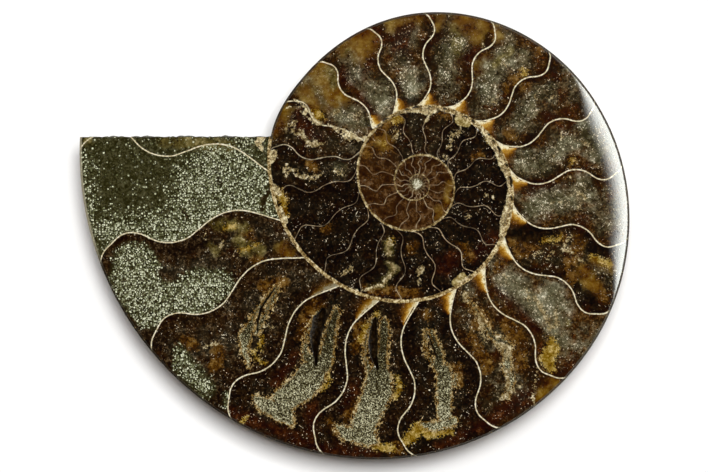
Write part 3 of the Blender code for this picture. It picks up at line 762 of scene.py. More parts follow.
# %% Where the minerals lie
MINERALS = {  # kind: strokes of (angle, height, half-width in mm)
    # pale green-grey grains in the youngest chambers
    "grain": (
        ((171, .2, 8.5), (187.5, .2, 8.5)), ((179, .4, 4), (190.5, .46, 5.5)),
        ((191, .6, 4.5), (190.5, .72, 3.2), (188.5, .9, 2.8)), ((176, .985, .3), (190, .99, .9)),
        ((195, .84, 4.2), (199, .88, 5.5), (205, .84, 5.5), (207, .7, 5), (206, .57, 5), (207, .48, 3.5)),
        ((194, .77, 2), (197, .74, 1.5)), ((215.3, .88, 1.4), (218, .92, 2.4), (224, .935, 2.2)),
        ((228.2, .89, .8), (229.5, .94, .8)), ((165.5, .14, 1.2), (167, .1, .8)),
    ),
    # places left bare and dark
    "bare": (
        ((182, .01, .4), (186, .05, .6), (189.3, .08, .5)), ((185.7, .497, .3), (189, .475, .25)),
        ((193.5, .66, 1.5), (195, .58, 2.2), (195, .5, 2.2), (195, .44, 1.5)),
        ((178.5, .27, .35), (181, .27, .3)), ((209.5, .97, 1.8), (211, .93, 1.5)),
        ((338, .35, 2), (336.5, .2, 2.2), (334, .08, 2)), ((326.3, .85, 1.3), (327, .78, 1.2)),
        ((343, .65, 1),), ((170.2, .62, .4),), ((447, .3, 1.2),), ((340, .8, 1.5), (340, .7, 1.5)),
        ((459, .09, 1), (451, .08, 1)), ((268, .3, .8), (268, .2, .8)),
    ),
    # pale sand that fills the middles of chambers
    "sand": (
        ((216.2, .23, .5), (217.4, .33, .55), (219, .45, .6), (221.6, .56, 1.6), (224, .63, .8),
         (227.3, .68, .5)),
        ((222.6, .5, .8), (220.8, .4, .7), (218.2, .28, .7), (216.7, .23, .5)),
        ((233, .82, .9), (235.5, .83, 1.9), (240, .83, 2.3), (242.3, .87, .8)),
        ((238.5, .75, 3.1), (240.5, .65, 3.4), (241, .55, 3.5)),
        ((237.8, .47, 1.3), (242.5, .47, 2.1), (242.3, .42, 1.8), (240.5, .32, 1.5), (239, .24, 1.3),
         (237.7, .15, 1)),
        ((236.5, .45, .9), (234.4, .38, .5), (233, .3, .4), (232.2, .2, .5)),
        ((252, .82, .8), (254.5, .85, 1.8), (259, .86, 2.1), (260.8, .89, .9)),
        ((257.5, .78, 3), (258.3, .68, 3.2), (259.3, .57, 3.6), (258.8, .48, 3)),
        ((255.3, .43, .9), (253.5, .37, .5), (252, .29, .5), (251.6, .21, .5), (252, .13, .5)),
        ((259, .42, 1.6), (258.3, .32, 1.3), (257.8, .22, 1.4), (256.3, .13, 1)),
        ((271.5, .8, .8), (274, .83, 1.2), (278.5, .83, 1.2)),
        ((276.8, .77, 1.8), (277.2, .68, 1.8), (277.8, .58, 2), (278.3, .5, 1.9)),
        ((276.5, .45, 1.4), (277.5, .38, 1.1), (276.3, .28, .9), (275.3, .21, .7)),
        ((274.8, .42, .6), (273.2, .33, .45), (273, .24, .5), (273.8, .205, .5)),
        ((281, .6, .7), (281.3, .54, .6)),
        ((292.8, .83, .7), (295.8, .76, .8), (295.8, .69, 1), (297.4, .6, 1), (299, .54, 1.4),
         (297.6, .48, 1.1)),
        ((297.6, .48, 1), (296.2, .42, .8), (295.6, .32, .7), (295.2, .22, .6), (294, .1, .4)),
    ),
    # bright yellow and orange crusts
    "gold": (
        ((192.8, .31, .3), (192.7, .25, .4)), ((201, .28, .3), (200.5, .18, .3)),
        ((233.6, .99, .35), (233.8, .94, .3)), ((225.3, .6, .5), (227, .62, .35), (229.7, .62, .3)),
        ((226.3, .56, .45), (224.5, .5, .4)), ((244.8, .63, .3), (246, .57, .5), (245, .52, .3)),
        ((250.5, .27, .8), (250.8, .18, .9)), ((252.8, .09, .7),),
        ((264, .61, .5), (265.3, .54, .8), (264, .48, .4)), ((261, .92, .8), (264.5, .93, .9)),
        ((267.5, .9, 1), (269.5, .85, 1.5), (270.5, .81, 1.2), (272.5, .88, .8), (278, .89, .5)),
        ((306, .87, 1), (307, .8, 1.8), (309.5, .78, 1.6), (311, .74, .8)),
        ((337.5, .88, .5), (337.3, .72, .5)), ((339.3, .44, .5), (336, .32, .5)), ((368.8, .58, .5),),
        ((505, .65, 1.1), (504.5, .58, .9), (506.5, .6, .8)),
        ((543, .93, .7), (548, .9, .8), (553, .95, .6)), ((826, .93, 1.1), (829, .9, .8)),
        ((604, .22, .5), (606, .17, .4)), ((845.5, .6, .4), (850, .6, .4)),
        ((406.5, .7, .6), (405.5, .66, .5)), ((752, .95, .6),),
    ),
    # olive spar, clearer than sand
    "olive": (
        ((190.8, .36, .9), (192.5, .28, 1.5), (194.5, .2, 1)),
        ((197, .26, .9), (200.5, .24, 1.9), (202.8, .18, 1.3)), ((196, .42, .4), (198.5, .4, .8)),
        ((168.7, .2, .9), (169.3, .3, 1.4), (169.8, .45, 1.5), (170.6, .57, 1)),
        ((172.9, .99, .5), (172.3, .94, .5)), ((184, .03, .5), (187, .05, .9), (189.5, .07, .8)),
        ((487, .8, 1.2), (490, .68, 1)), ((478, .88, .8),), ((317, .75, .6),),
        ((415, .8, .7), (417, .6, .9)), ((436, .82, 1), (433, .6, 1)),
        ((605, .86, .3), (611, .8, .7), (613, .68, .6), (615, .56, .7), (610.5, .46, .5)),
        ((608, .36, .8), (605.5, .25, 1), (605, .18, .7)),
    ),
    # clear brown gold at the venter of the older chambers
    "amber": (
        ((427, .93, 1.5), (431, .9, 2.4), (436, .9, 2.2)), ((429, .8, 2),),
        ((441.5, .93, 1.2), (442.5, .85, .8)), ((450, .94, 1.2), (459, .93, 1.4)),
        ((466.5, .93, 2), (472, .9, 2.6), (478, .93, 1.6)), ((469, .8, 1.8), (475, .75, 1.6)),
        ((489.5, .92, 1.8), (492, .85, 2.6), (495, .92, 2)),
        ((490, .72, 2.2), (494, .6, 2.6), (497, .58, 2), (492, .5, 1.6)),
        ((500.5, .85, 1.8), (502, .7, 1.6)), ((510.5, .95, 1.2), (516, .94, 1.4), (520, .97, .9)),
        ((420, .85, 1.2), (424, .94, 1)), ((421, .5, 1.4), (421.5, .62, 1)),
        ((299, .965, 1), (305, .95, 1.3)), ((337, .88, 1), (337, .75, 1)),
        ((330, .82, 1.4), (332.5, .7, 1.2)), ((844, .6, 1.2), (852, .6, 1.4)),
        ((204.5, .04, .6), (206.5, .08, 1.3), (209, .06, 1.2)), ((826, .93, 1.2), (833, .92, 1)),
        ((1020, .8, .8), (1032, .8, .8)), ((1045, .85, .6), (1080, .85, .6)),
    ),
    # grainy orange brown
    "orange": (
        ((196, .2, 1.2), (205, .22, 1.6)), ((214, .28, 1.6), (216, .2, 1.6)),
        ((222, .8, 1.6), (220, .72, 1.6)), ((216, .8, 1.2), (214, .82, 1)),
        ((241.5, .32, 1), (240, .22, .8)), ((232.8, .38, 1.1), (231, .28, 1.7), (230, .17, 1.6)),
        ((249.5, .33, 1), (249.3, .2, 2)), ((253.3, .76, .9), (254, .66, .8)),
        ((265, .95, 1.4), (266, .93, 1.5)), ((249.5, .79, .6), (252, .85, .8)),
        ((281.8, .6, 1), (282.3, .5, 1.2)), ((273.5, .1, 1.2),),
        ((299.5, .72, 1.5), (301.5, .6, 2.2), (303, .52, 2.4), (302, .42, 1.5)),
        ((293, .3, 1.5), (296.5, .32, 1.5), (295, .17, 1.5)), ((291, .6, 1.2), (290, .35, 1.2)),
        ((315, .1, 1.6),), ((328.5, .93, 1), (330, .8, 1.8), (332.5, .68, 1.6), (329, .62, 1.6)),
        ((332, .56, 1.5), (337, .6, 1.6), (341, .6, 1.6)),
        ((339.5, .45, .9), (335.5, .3, 1), (333, .18, 1), (329.5, .09, 1.5)),
        ((327, .18, 1.6), (331, .25, 1.6)), ((369, .57, 1.1),), ((363, .43, .8),), ((401.5, .58, 1.3),),
        ((389, .18, 1.8),), ((407, .7, .8), (407, .55, 1.6), (407, .48, 1.2)),
        ((415, .93, 1.5), (408, .95, 1.2)), ((529, .52, 1.5), (531, .5, 1.2)),
        ((543, .93, .9), (548, .9, 1), (553, .95, .8)), ((566, .58, 1.2),),
        ((604, .9, .8), (612, .87, 1), (632, .93, 1)), ((625, .27, 1.2), (627, .2, 1)),
        ((666, .62, 1.6), (664, .52, 1.2), (665.5, .75, 1)), ((744, .6, 1.5),),
        ((784, .92, .8), (792, .88, .8)), ((838, .9, 1), (870, .9, 1.2)), ((851, .78, 1.5),),
        ((848, .6, 2.4),),
    ),
    # dark red iron stain
    "rust": (
        ((231, .965, 1.4), (250, .965, 1.3), (262, .97, 1.2)),
        ((275, .97, 1.2), (300, .96, 1.5), (312, .96, 1.2)), ((290, .9, 1.5), (298, .9, 1.5)),
        ((234.5, .68, 1), (235, .5, 1)), ((309, .6, 1.4), (310, .4, 1.6), (308, .2, 1.6)),
        ((358.5, .45, 1.2), (357.5, .2, 2)), ((347, .6, 1.5),), ((387, .55, 1.4),),
        ((427, .68, 1.5), (428, .55, 1.5)), ((453, .9, 2), (458, .75, 2.5), (456, .58, 2)),
        ((470, .7, 2), (483, .65, 2.5)), ((482, .2, 1.5), (483, .4, 1.2)),
        ((511, .8, 2), (514, .65, 2), (514.5, .52, 1.5)), ((606, .92, 1), (630, .93, 1)),
        ((648, .65, 2), (655, .6, 2)), ((247, .9, 1.2), (245, .75, 1.5)),
        ((253, .55, 1.2), (252.5, .7, 1.2)), ((668, .8, 1.2), (686, .88, 1.2)),
    ),
    # clouded grey-green spar
    "milky": (
        ((312, .85, 1), (313, .7, 1.6), (316, .66, 1.4), (319, .6, 1.6), (322, .55, 1.8), (318, .5, 2.4)),
        ((313, .58, 1.5), (314.5, .42, 2.2), (314, .28, 2.4), (312, .2, 1.6)), ((319.5, .65, 1.8),),
        ((356.5, .64, 1.6), (357.5, .58, 1.8), (360.5, .62, 1.4)),
        ((354.5, .5, 2), (354, .38, 2.2), (351, .25, 2.6), (347, .17, 2)), ((347.5, .82, 1.2),),
        ((369, .3, 2.2), (371, .18, 2.4), (368, .12, 1.8)), ((378, .8, 2), (370, .8, 2)),
        ((373.5, .75, 1), (375, .65, 1.2), (376.5, .57, 1.6), (372, .42, 1.6)), ((391, .3, 1.6),),
        ((396, .75, .9), (397.5, .65, 1), (396.5, .55, 1.2), (393, .45, 1.5)),
        ((411, .85, .8), (409, .75, .8)), ((412, .72, .8), (414, .62, .8)),
        ((416.5, .9, .6), (419.5, .98, .5)), ((417, .82, 1), (417, .72, 1.2)),
        ((419, .55, 1.6), (417, .47, 1.8), (413, .3, 1.5)), ((408, .29, 1),),
        ((439, .97, .5), (438.5, .88, .9), (437, .78, .9)),
        ((432, .7, 1.5), (438, .6, 2), (436, .48, 2), (435, .35, 1.6)), ((452, .3, 2.4), (455, .15, 1.6)),
        ((468, .3, 1.8), (473, .2, 2.2), (475, .33, 1.8)),
        ((477.5, .77, .9), (479, .67, .9), (480, .6, 1)),
        ((488.5, .25, .6), (492, .35, .8), (498, .2, .9), (488, .12, .8)),
        ((495, .42, 1), (499, .46, .9), (501.5, .38, .6)),
        ((496.5, .95, .7), (497, .85, .9), (498, .72, .8), (499.5, .62, .9)), ((530, .2, 1.2),),
        ((457, .55, 1.2),),
    ),
    # yellow clear lumps on the second whorl's wall
    "lump": (
        ((651.5, .94, 1), (656, .93, 1.1)), ((771.5, .93, 1.3), (775.5, .92, 1.5)),
    ),
    # white and cream threads
    "vein": (
        ((217.5, .76, .35), (218.5, .7, .3)), ((222.2, .46, .25), (225, .42, .2)), ((193.8, .42, .4),),
        ((291.5, .82, .35), (293.5, .815, .35), (297, .82, .3)),
        ((294, .79, .4), (295, .73, .55), (295.8, .68, .6)),
        ((297, .6, .5), (299.5, .56, .8), (297.5, .52, .9), (296.3, .49, .4)),
        ((299.5, .48, .4), (297.5, .44, .4)),
        ((293, .43, .3), (294, .36, .5), (295, .3, .6), (295, .23, .5)),
        ((292.5, .1, .7), (294, .07, .5)),
        ((298, .99, .2), (298.6, .94, .2), (301, .86, .18), (303.2, .8, .15)), ((314.5, .41, .6),),
        ((313.7, .17, .4),), ((316.3, .36, .2), (316, .46, .4), (314.6, .55, .6), (313.4, .64, .5)),
        ((312.5, .67, .5), (315, .69, .5), (317.2, .63, .35)),
        ((334.7, .67, .25), (335.5, .61, .3), (336.3, .55, .4), (336, .49, .45)),
        ((338, .5, .35), (341, .52, .2)), ((329.8, .38, .35), (331.5, .4, .35), (333.5, .41, .3)),
        ((328.8, .28, .2), (330.3, .31, .35), (331.5, .33, .25)), ((362.8, .52, .35),),
        ((352, .34, .25), (353, .42, .2)), ((351.2, .6, .2), (352.5, .56, .2)),
        ((355.5, .62, .5), (357, .58, .5)), ((373.2, .75, .35), (374.5, .72, .3)), ((371.5, .43, .3),),
        ((377.5, .56, .4),), ((391.5, .77, .2), (393.5, .65, .2)), ((396.5, .58, .4),),
        ((407, .28, .45), (409, .27, .4)), ((424.2, .72, .3), (425.2, .76, .15)), ((413.7, .65, .4),),
        ((497, .45, .4), (499.5, .46, .4)), ((489, .24, .4), (490.5, .26, .3)),
        ((513, .79, .4), (515, .82, .4), (517.3, .86, .35)),
        ((516.8, .8, .5), (516.8, .73, .5), (516.3, .69, .6)),
        ((517.5, .65, .5), (518.7, .6, .5), (519.8, .54, .5), (518, .49, .7)),
        ((517.2, .45, .4), (515.5, .4, .25)),
        ((532, .8, .5), (534, .84, .4), (534.7, .8, .3), (536.5, .83, .2)),
        ((532, .79, .4), (533.5, .74, .5), (533.8, .68, .4)),
        ((535.5, .69, .3), (536.5, .62, .5), (536, .56, .5), (537.5, .52, .5)),
        ((536, .5, .4), (534.5, .42, .3)), ((530.5, .27, .3), (531.8, .18, .4)),
        ((590, .86, .3), (591.5, .8, .45), (592, .73, .5)),
        ((631, .76, .2), (631, .68, .3), (631, .6, .6), (633, .56, .7)),
        ((711.5, .6, .4), (711, .55, .35)), ((709, .68, .4),), ((771, .75, .4), (771.3, .67, .5)),
        ((773, .59, .7), (774.5, .56, .5)), ((772, .47, .4), (771, .45, .3)),
        ((769, .37, .4), (768, .31, .6)), ((763, .12, .4),), ((831.5, .65, .7), (834, .58, .7)),
        ((611, .8, .35), (613, .68, .4), (615, .56, .5), (610.5, .46, .3)),
        ((608, .36, .5), (605.5, .25, .6), (605, .18, .45)), ((196.3, .34, .3), (198.3, .37, .3)),
        ((687, .34, .5), (688.5, .38, .3)),
    ),
    # cream crumbs along cracked walls
    "rubble": (
        ((162.5, .045, 1), (165.5, .06, .9), (167.5, .04, .5)),
        ((509.6, .95, .28), (508.5, .9, .3), (507, .84, .3)),
        ((505.5, .93, .2), (505.3, .85, .3), (505.5, .76, .5), (507.5, .74, .4)),
        ((505.8, .72, .4), (507, .66, .4), (508.8, .61, .6), (508.3, .57, .6), (507.3, .52, .3)),
        ((508, .8, .25), (508.5, .7, .3), (509.2, .6, .3)), ((507, .3, .25), (506.5, .16, .4)),
        ((506, .46, .3), (505.5, .4, .3), (505.8, .34, .4), (504.3, .3, .4), (503.3, .22, .5),
         (503.5, .16, .6), (502.5, .08, .5)),
        ((501, .06, .4), (498, .03, .4)), ((526.5, .92, .4), (528, .95, .9), (530.5, .97, .9)),
        ((600, .97, .3), (604, .93, .3), (607, .85, .3), (612, .8, .35)),
        ((541, .97, .8), (544, .93, .6)), ((550, .97, .5), (556, .96, .4)),
        ((687, .985, .4), (691, .965, .7), (696, .93, .95), (703, .94, .9), (709, .96, .65)),
        ((709, .96, .65), (717, .975, .5), (725, .97, .6), (733, .94, .9), (741, .955, .7),
         (749, .96, .6), (760, .985, .4)),
        ((795, .99, .6), (800, .93, 1.1), (801, .9, 1), (806, .95, .9)), ((806, .95, .9), (815, .98, .6)),
        ((800.5, .84, .35), (800, .76, .3), (802.5, .68, .35)), ((654, .985, .5), (660, .98, .5)),
    ),
}  # fmt: skip
# these kinds stop at the septa they meet
WALLED_IN = ("grain", "bare", "orange", "amber", "olive", "gold", "milky", "sand")
FIELD_LIMIT = 5.0  # mm, further outside a stroke than any ragged edge reaches


def inside_mm(x, y, stroke):
    """How many mm each place lies inside a stroke: half-width less the way to its middle line."""
    sx, sy, half = stroke_line(stroke)
    reach = float(half.max()) + FIELD_LIMIT
    near = (np.abs(x - (sx.min() + sx.max()) / 2) < (sx.max() - sx.min()) / 2 + reach) & (
        np.abs(y - (sy.min() + sy.max()) / 2) < (sy.max() - sy.min()) / 2 + reach
    )
    level = np.full(len(x), -FIELD_LIMIT)
    best = level[near]
    x, y = x[near], y[near]
    for i in range(max(1, len(sx) - 1)):
        j = min(i + 1, len(sx) - 1)
        dx, dy = sx[j] - sx[i], sy[j] - sy[i]
        along = np.clip(((x - sx[i]) * dx + (y - sy[i]) * dy) / max(dx * dx + dy * dy, 1e-9), 0, 1)
        away = np.hypot(x - sx[i] - along * dx, y - sy[i] - along * dy)
        best = np.maximum(best, half[i] + along * (half[j] - half[i]) - away)
    level[near] = best
    return level


SAME_PART = 90  # degrees, so that a stroke marks one whorl only

for kind, strokes in MINERALS.items():
    level = np.full(len(px), -FIELD_LIMIT)
    for stroke in strokes:
        stroke_angles, stroke_heights, _ = np.array(stroke).T
        crossed = septum_count(stroke_angles, stroke_heights)
        same_part = np.abs(angle - stroke_angles.mean()) < SAME_PART
        if kind in WALLED_IN:
            same_part &= (count > np.floor(crossed.min())) & (count < np.ceil(crossed.max()))
        level = np.maximum(level, np.where(same_part, inside_mm(px, py, stroke), -FIELD_LIMIT))
    fields[kind] = np.where(pair_kind == 0, level, -FIELD_LIMIT)
print(sum(len(strokes) for strokes in MINERALS.values()), "strokes of", len(MINERALS), "minerals")

# %% [markdown]
# ## Wedges at the septa's toes
# Where a septum meets the inner wall a clear wedge of orange spar fills the corner on the mouth's side. It
# needs no strokes: the count gives the way to the next septum.

# %% Wedges
WEDGE_HEIGHT, WEDGE_LENGTH = 0.16, 5.4  # of the tube, mm
WEDGE_FROM, WEDGE_TO = 3.0, 17.0  # septum counts

to_septum = (np.ceil(count) - count) / slope
room = WEDGE_LENGTH * np.maximum(1e-3, 1 - height / WEDGE_HEIGHT) ** 0.7
wedge = np.where(height < WEDGE_HEIGHT, 1 - to_septum / room, -1)
in_wedges = (pair_kind == 0) & (count > WEDGE_FROM) & (count < WEDGE_TO)
fields["wedge"] = np.where(in_wedges, np.clip(wedge, -1, 1), -1)
print("corners in wedges:", int((fields["wedge"] > 0).sum()))

# %% [markdown]
# ## From arrays to a mesh
# The faces get the numbers of their three materials, which are made further down. The mesh gets soft shading
# with sharp edges where faces turn, and the fields as corner attributes.

# %% Make the piece
SHARP = 38.0  # degrees

mesh = bpy.data.meshes.new("ammonite")
mesh.from_pydata(((vertices + shift) / 1000).tolist(), [], faces.tolist())
mesh.polygons.foreach_set("material_index", kinds.astype(np.int32))
mesh.shade_smooth()
mesh.set_sharp_from_angle(angle=math.radians(SHARP))
for name, values in fields.items():
    attribute = mesh.attributes.new(name, "FLOAT", "CORNER")
    attribute.data.foreach_set("value", values[pair_of_corner].astype(np.float32))
ammonite = bpy.data.objects.new("Ammonite", mesh)
bpy.context.scene.collection.objects.link(ammonite)
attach(ammonite, "root")
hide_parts(SPECIMEN)
print(len(fields), "fields on", len(mesh.loops), "corners")

# %% [markdown]
# ## A flat map for the baked colours
# The colours can be baked into one square picture, and this map gives each surface room in it by how closely
# it is looked at: the cut most, the flank less, and the broken end least.

# %% Lay out the map
MAP_SIZE = 1024
CUT_SCALE, FLANK_SCALE, END_SCALE = 6.05, 2.8, 3.0  # steps of the map for each mm
MAP_MARGIN, LOWER_TOP, END_LEFT = 4, 372, 470  # steps: the lower parts' top and the end's left side
FLANK_STRETCH = 0.8  # mm spread outwards for each mm that the flank falls

u, v = np.empty(len(pairs)), np.empty(len(pairs))
steep = np.where(radius > CREST * venter(angle), half_breadth(angle) + pz, 0)
flank_radius = radius + FLANK_STRETCH * np.maximum(0, steep)
outwards = flank_radius / np.maximum(radius, 1e-6)
layout = (
    (px, py, CUT_SCALE, (MAP_MARGIN, MAP_SIZE - MAP_MARGIN)),
    (px * outwards, py * outwards, FLANK_SCALE, (MAP_MARGIN, LOWER_TOP)),
    (px, pz, END_SCALE, (END_LEFT, LOWER_TOP)),
)
for kind, (x, y, scale, (left, top)) in enumerate(layout):
    those = pair_kind == kind
    u[those] = left + (x[those] - x[those].min()) * scale
    v[those] = top - (y[those].max() - y[those]) * scale
    print("map part", kind, "to", u[those].max().round(), v[those].min().round())
flat_map = mesh.uv_layers.new(name="OFBake")
uv = np.stack([u, v], axis=1)[pair_of_corner] / MAP_SIZE
flat_map.data.foreach_set("uv", uv.ravel().astype(np.float32))
mesh.update()

# %% [markdown]
# ## A short way to write shaders
# Shader trees get long, so a small helper adds nodes and links them: anything given to it may be a number,
# a colour or another node's output. Colours are written as they should look in this room, from 0 to 255.

# %% Shader helper
ROOM_LIGHT = 1.12  # how bright a white thing comes out in this room
VEIL = 0.0022  # the light that a polished face adds of its own


def paint(red, green, blue):
    """A colour as it should look in this room, from 0 to 255, turned to linear light."""
    shares = [(c / 255 + 0.055) / 1.055 for c in (red, green, blue)]
    return (*[max(0.0003, share**2.4 - VEIL) / ROOM_LIGHT for share in shares], 1)


class Shader:
    """Adds nodes to a tree, with methods that read like a sentence."""

    def __init__(self, tree):
        self.tree = tree

    def join(self, socket, value):
        if isinstance(value, bpy.types.NodeSocket):
            self.tree.links.new(value, socket)
        elif value is not None:
            socket.default_value = value

    def node(self, kind, inputs=None, **settings):
        node = self.tree.nodes.new("ShaderNode" + kind)
        for name, value in settings.items():
            setattr(node, name, value)
        for name, value in (inputs or {}).items():
            self.join(node.inputs[name], value)
        return node

    def math(self, operation, *values):
        return self.node("Math", dict(enumerate(values)), operation=operation).outputs[0]

    def add(self, *values):
        """The sum of some values, each a value or a pair of a value and its weight."""
        values = [self.times(*value) if isinstance(value, tuple) else value for value in values]
        total = values[0]
        for value in values[1:]:
            total = self.math("ADD", total, value)
        return total

    def times(self, *values):
        product = values[0]
        for value in values[1:]:
            product = self.math("MULTIPLY", product, value)
        return product

    def less(self, a, b):
        return self.math("SUBTRACT", a, b)

    def step(self, value, start, stop):
        """0 before start and 1 after stop, soft between; turned round if start is above stop."""
        return self.node(
            "MapRange",
            {"Value": value, "From Min": start, "From Max": stop},
            interpolation_type="SMOOTHSTEP",
        ).outputs["Result"]

    def blend(self, share, first, second):
        """The first colour where the share is 0 and the second where it is 1."""
        return self.node("Mix", {0: share, 6: first, 7: second}, data_type="RGBA").outputs[2]

    def noise(self, position, size, detail=3.0, roughness=0.6):
        """Smooth random values, mostly from -1 to 1."""
        value = self.node(
            "TexNoise",
            {"Vector": position, "Scale": 1 / size, "Detail": detail, "Roughness": roughness},
        ).outputs[0]
        return self.math("MULTIPLY_ADD", value, 4.4, -2.2)

    def field(self, name):
        """One of the mesh's corner fields."""
        return self.node("Attribute", attribute_name=name).outputs["Fac"]

    def use(self, group, **inputs):
        """The outputs of a node group; an input's spaces are written as underscores."""
        node = self.node("Group", node_tree=group)
        for name, value in inputs.items():
            self.join(node.inputs[name.replace("_", " ")], value)
        return node.outputs

    def ramp(self, value, stops):
        """Colours between stops, each a spot from 0 to 1 and a colour from 0 to 255."""
        node = self.node("ValToRGB", {"Fac": value})
        while len(node.color_ramp.elements) < len(stops):
            node.color_ramp.elements.new(0.5)
        for element, (spot, color) in zip(node.color_ramp.elements, stops):
            element.position, element.color = spot, paint(*color)
        return node.outputs["Color"]

    def position(self):
        """Place on the piece in mm."""
        place = self.node("TexCoord").outputs["Object"]
        return self.node("VectorMath", {0: place, "Scale": 1000.0}, operation="SCALE").outputs[0]


def new_group(name, inputs, outputs):
    """An empty node group: its shader, its inputs' sockets and its output node."""
    tree = bpy.data.node_groups.new(name, "ShaderNodeTree")
    for socket_name, (kind, value) in inputs.items():
        socket = tree.interface.new_socket(socket_name, in_out="INPUT", socket_type="NodeSocket" + kind)
        if value is not None:
            socket.default_value = value
    for socket_name, kind in outputs.items():
        tree.interface.new_socket(socket_name, in_out="OUTPUT", socket_type="NodeSocket" + kind)
    return Shader(tree), tree.nodes.new("NodeGroupInput").outputs, tree.nodes.new("NodeGroupOutput")


def tones(shader, noise, *colors):
    """Colours from the darkest to the lightest, spread evenly over a noise."""
    spots = [i / (len(colors) - 1) for i in range(len(colors))]
    return shader.ramp(shader.step(noise, -0.85, 0.85), list(zip(spots, colors)))


print("mid grey in linear light:", np.round(paint(128, 128, 128)[:3], 3))

# %% [markdown]
# ## Effect: a ragged edge
# A mineral's border is never as smooth as a stroke's. Noise pushes the field up and down before the edge is
# cut, by an amount in mm, and the softness says how wide the blend is.

# %% Ragged edge
shader, given, out = new_group(
    "Ragged edge",
    {
        "Level": ("Float", 0.0), "Noise": ("Float", 0.0), "Amount": ("Float", 0.4),
        "Softness": ("Float", 0.2),
    },
    {"Mask": "Float"},
)  # fmt: skip
level = shader.math("MULTIPLY_ADD", given["Noise"], given["Amount"], given["Level"])
out_low = shader.math("MULTIPLY", given["Softness"], -1.0)
shader.join(out.inputs["Mask"], shader.step(level, out_low, given["Softness"]))
RAGGED = shader.tree
print("ragged edge:", len(RAGGED.nodes), "nodes")

# %% [markdown]
# ## Effect: crystal grains
# Each cell of a cell pattern may hold one round grain. The share of cells that do can change from place to
# place, and every grain has a shade of its own.

# %% Crystal grains
shader, given, out = new_group(
    "Crystal grains",
    {
        "Position": ("Vector", None), "Size": ("Float", 0.5), "Share": ("Float", 0.5),
        "Fill": ("Float", 0.5),
    },
    {"Mask": "Float", "Shade": "Float"},
)  # fmt: skip
scale = shader.math("DIVIDE", 1.0, given["Size"])
cell = shader.node("TexVoronoi", {"Vector": given["Position"], "Scale": scale})
random = shader.node("SeparateColor", {"Color": cell.outputs["Color"]})
chosen = shader.step(random.outputs[0], given["Share"], shader.less(given["Share"], 0.08))
inner = shader.less(given["Fill"], 0.16)
blob = shader.step(cell.outputs["Distance"], given["Fill"], inner)
shader.join(out.inputs["Mask"], shader.times(chosen, blob))
shader.join(out.inputs["Shade"], random.outputs[1])
GRAINS = shader.tree
print("crystal grains:", len(GRAINS.nodes), "nodes")

# %% [markdown]
# ## Effect: a ruled line
# Draws a line at each whole number of a count. Dividing by the slope turns the way to that number into mm,
# so the line is as thick as it is told to be.

# %% Ruled line
shader, given, out = new_group(
    "Ruled line",
    {
        "Count": ("Float", 0.0), "Slope": ("Float", 1.0), "Half Width": ("Float", 0.25),
        "Softness": ("Float", 0.08),
    },
    {"Mask": "Float"},
)  # fmt: skip
away = shader.math("DIVIDE", shader.math("PINGPONG", given["Count"], 0.5), given["Slope"])
outside = shader.add(given["Half Width"], given["Softness"])
inside = shader.less(given["Half Width"], given["Softness"])
shader.join(out.inputs["Mask"], shader.step(away, outside, inside))
RULED = shader.tree
print("ruled line:", len(RULED.nodes), "nodes")

# %% [markdown]
# ## The polished cut: noises and ground
# Layers go from the bottom up, the way the stone formed: dark spar, stains, cloudy spar, pale crystals
# with painted glints, grains and sand, white threads, wedges, and over them the shell's own walls. A handful
# of noises, weighed against each other in different ways, serves them all, so the layers seem to belong to
# one stone. The ground is almost black in the youngest chambers, brown and grey further in, and mossy at
# the mouth.

# %% Polished cut: ground
def new_material(name):
    """A material with its shader helper and its Principled node."""
    material = bpy.data.materials.new(name)
    material.use_nodes = True
    return material, Shader(material.node_tree), material.node_tree.nodes["Principled BSDF"]


polished, cut, stone = new_material("polished cut")
mm = cut.position()
aside = cut.node("VectorMath", {0: mm, 1: (31.0, 17.0, 5.0)}, operation="ADD").outputs[0]
broad, middling, fine = cut.noise(mm, 3.6, 2), cut.noise(mm, 1.3, 4, 0.65), cut.noise(mm, 0.55, 2)
other, tiny, hue = cut.noise(aside, 1.9, 4, 0.7), cut.noise(aside, 0.32, 1), cut.noise(aside, 2.6, 3, 0.55)
count, height, slope = cut.field("count"), cut.field("height"), cut.field("slope")
tube_place = cut.node(
    "CombineXYZ", {0: cut.times(count, 4.0), 1: cut.times(height, 2.2), 2: cut.times(other, 0.14)}
)
wisps = cut.noise(tube_place.outputs[0], 1.0, 5, 0.75)  # streaks along the chambers
rough_edge = cut.add((middling, 0.65), (fine, 0.35))
grainy = cut.add((middling, 0.5), (fine, 0.45), (tiny, 0.25))
streaky = cut.add((wisps, 0.4), (middling, 0.4), (fine, 0.38), (tiny, 0.2))
smoky = cut.add((other, 0.7), (fine, 0.25), (tiny, 0.15))
glassy = cut.add((hue, 0.6), (other, 0.35), (fine, 0.12))
inner_whorls = cut.step(count, 34.5, 37)
mid_chamber = cut.step(cut.math("PINGPONG", count, 0.5), 0.03, 0.4)


def ragged(name, amount, softness, noise=None):
    """Mask of one of the minerals, with a ragged edge."""
    noise = noise or rough_edge
    return cut.use(RAGGED, Level=cut.field(name), Noise=noise, Amount=amount, Softness=softness)[0]


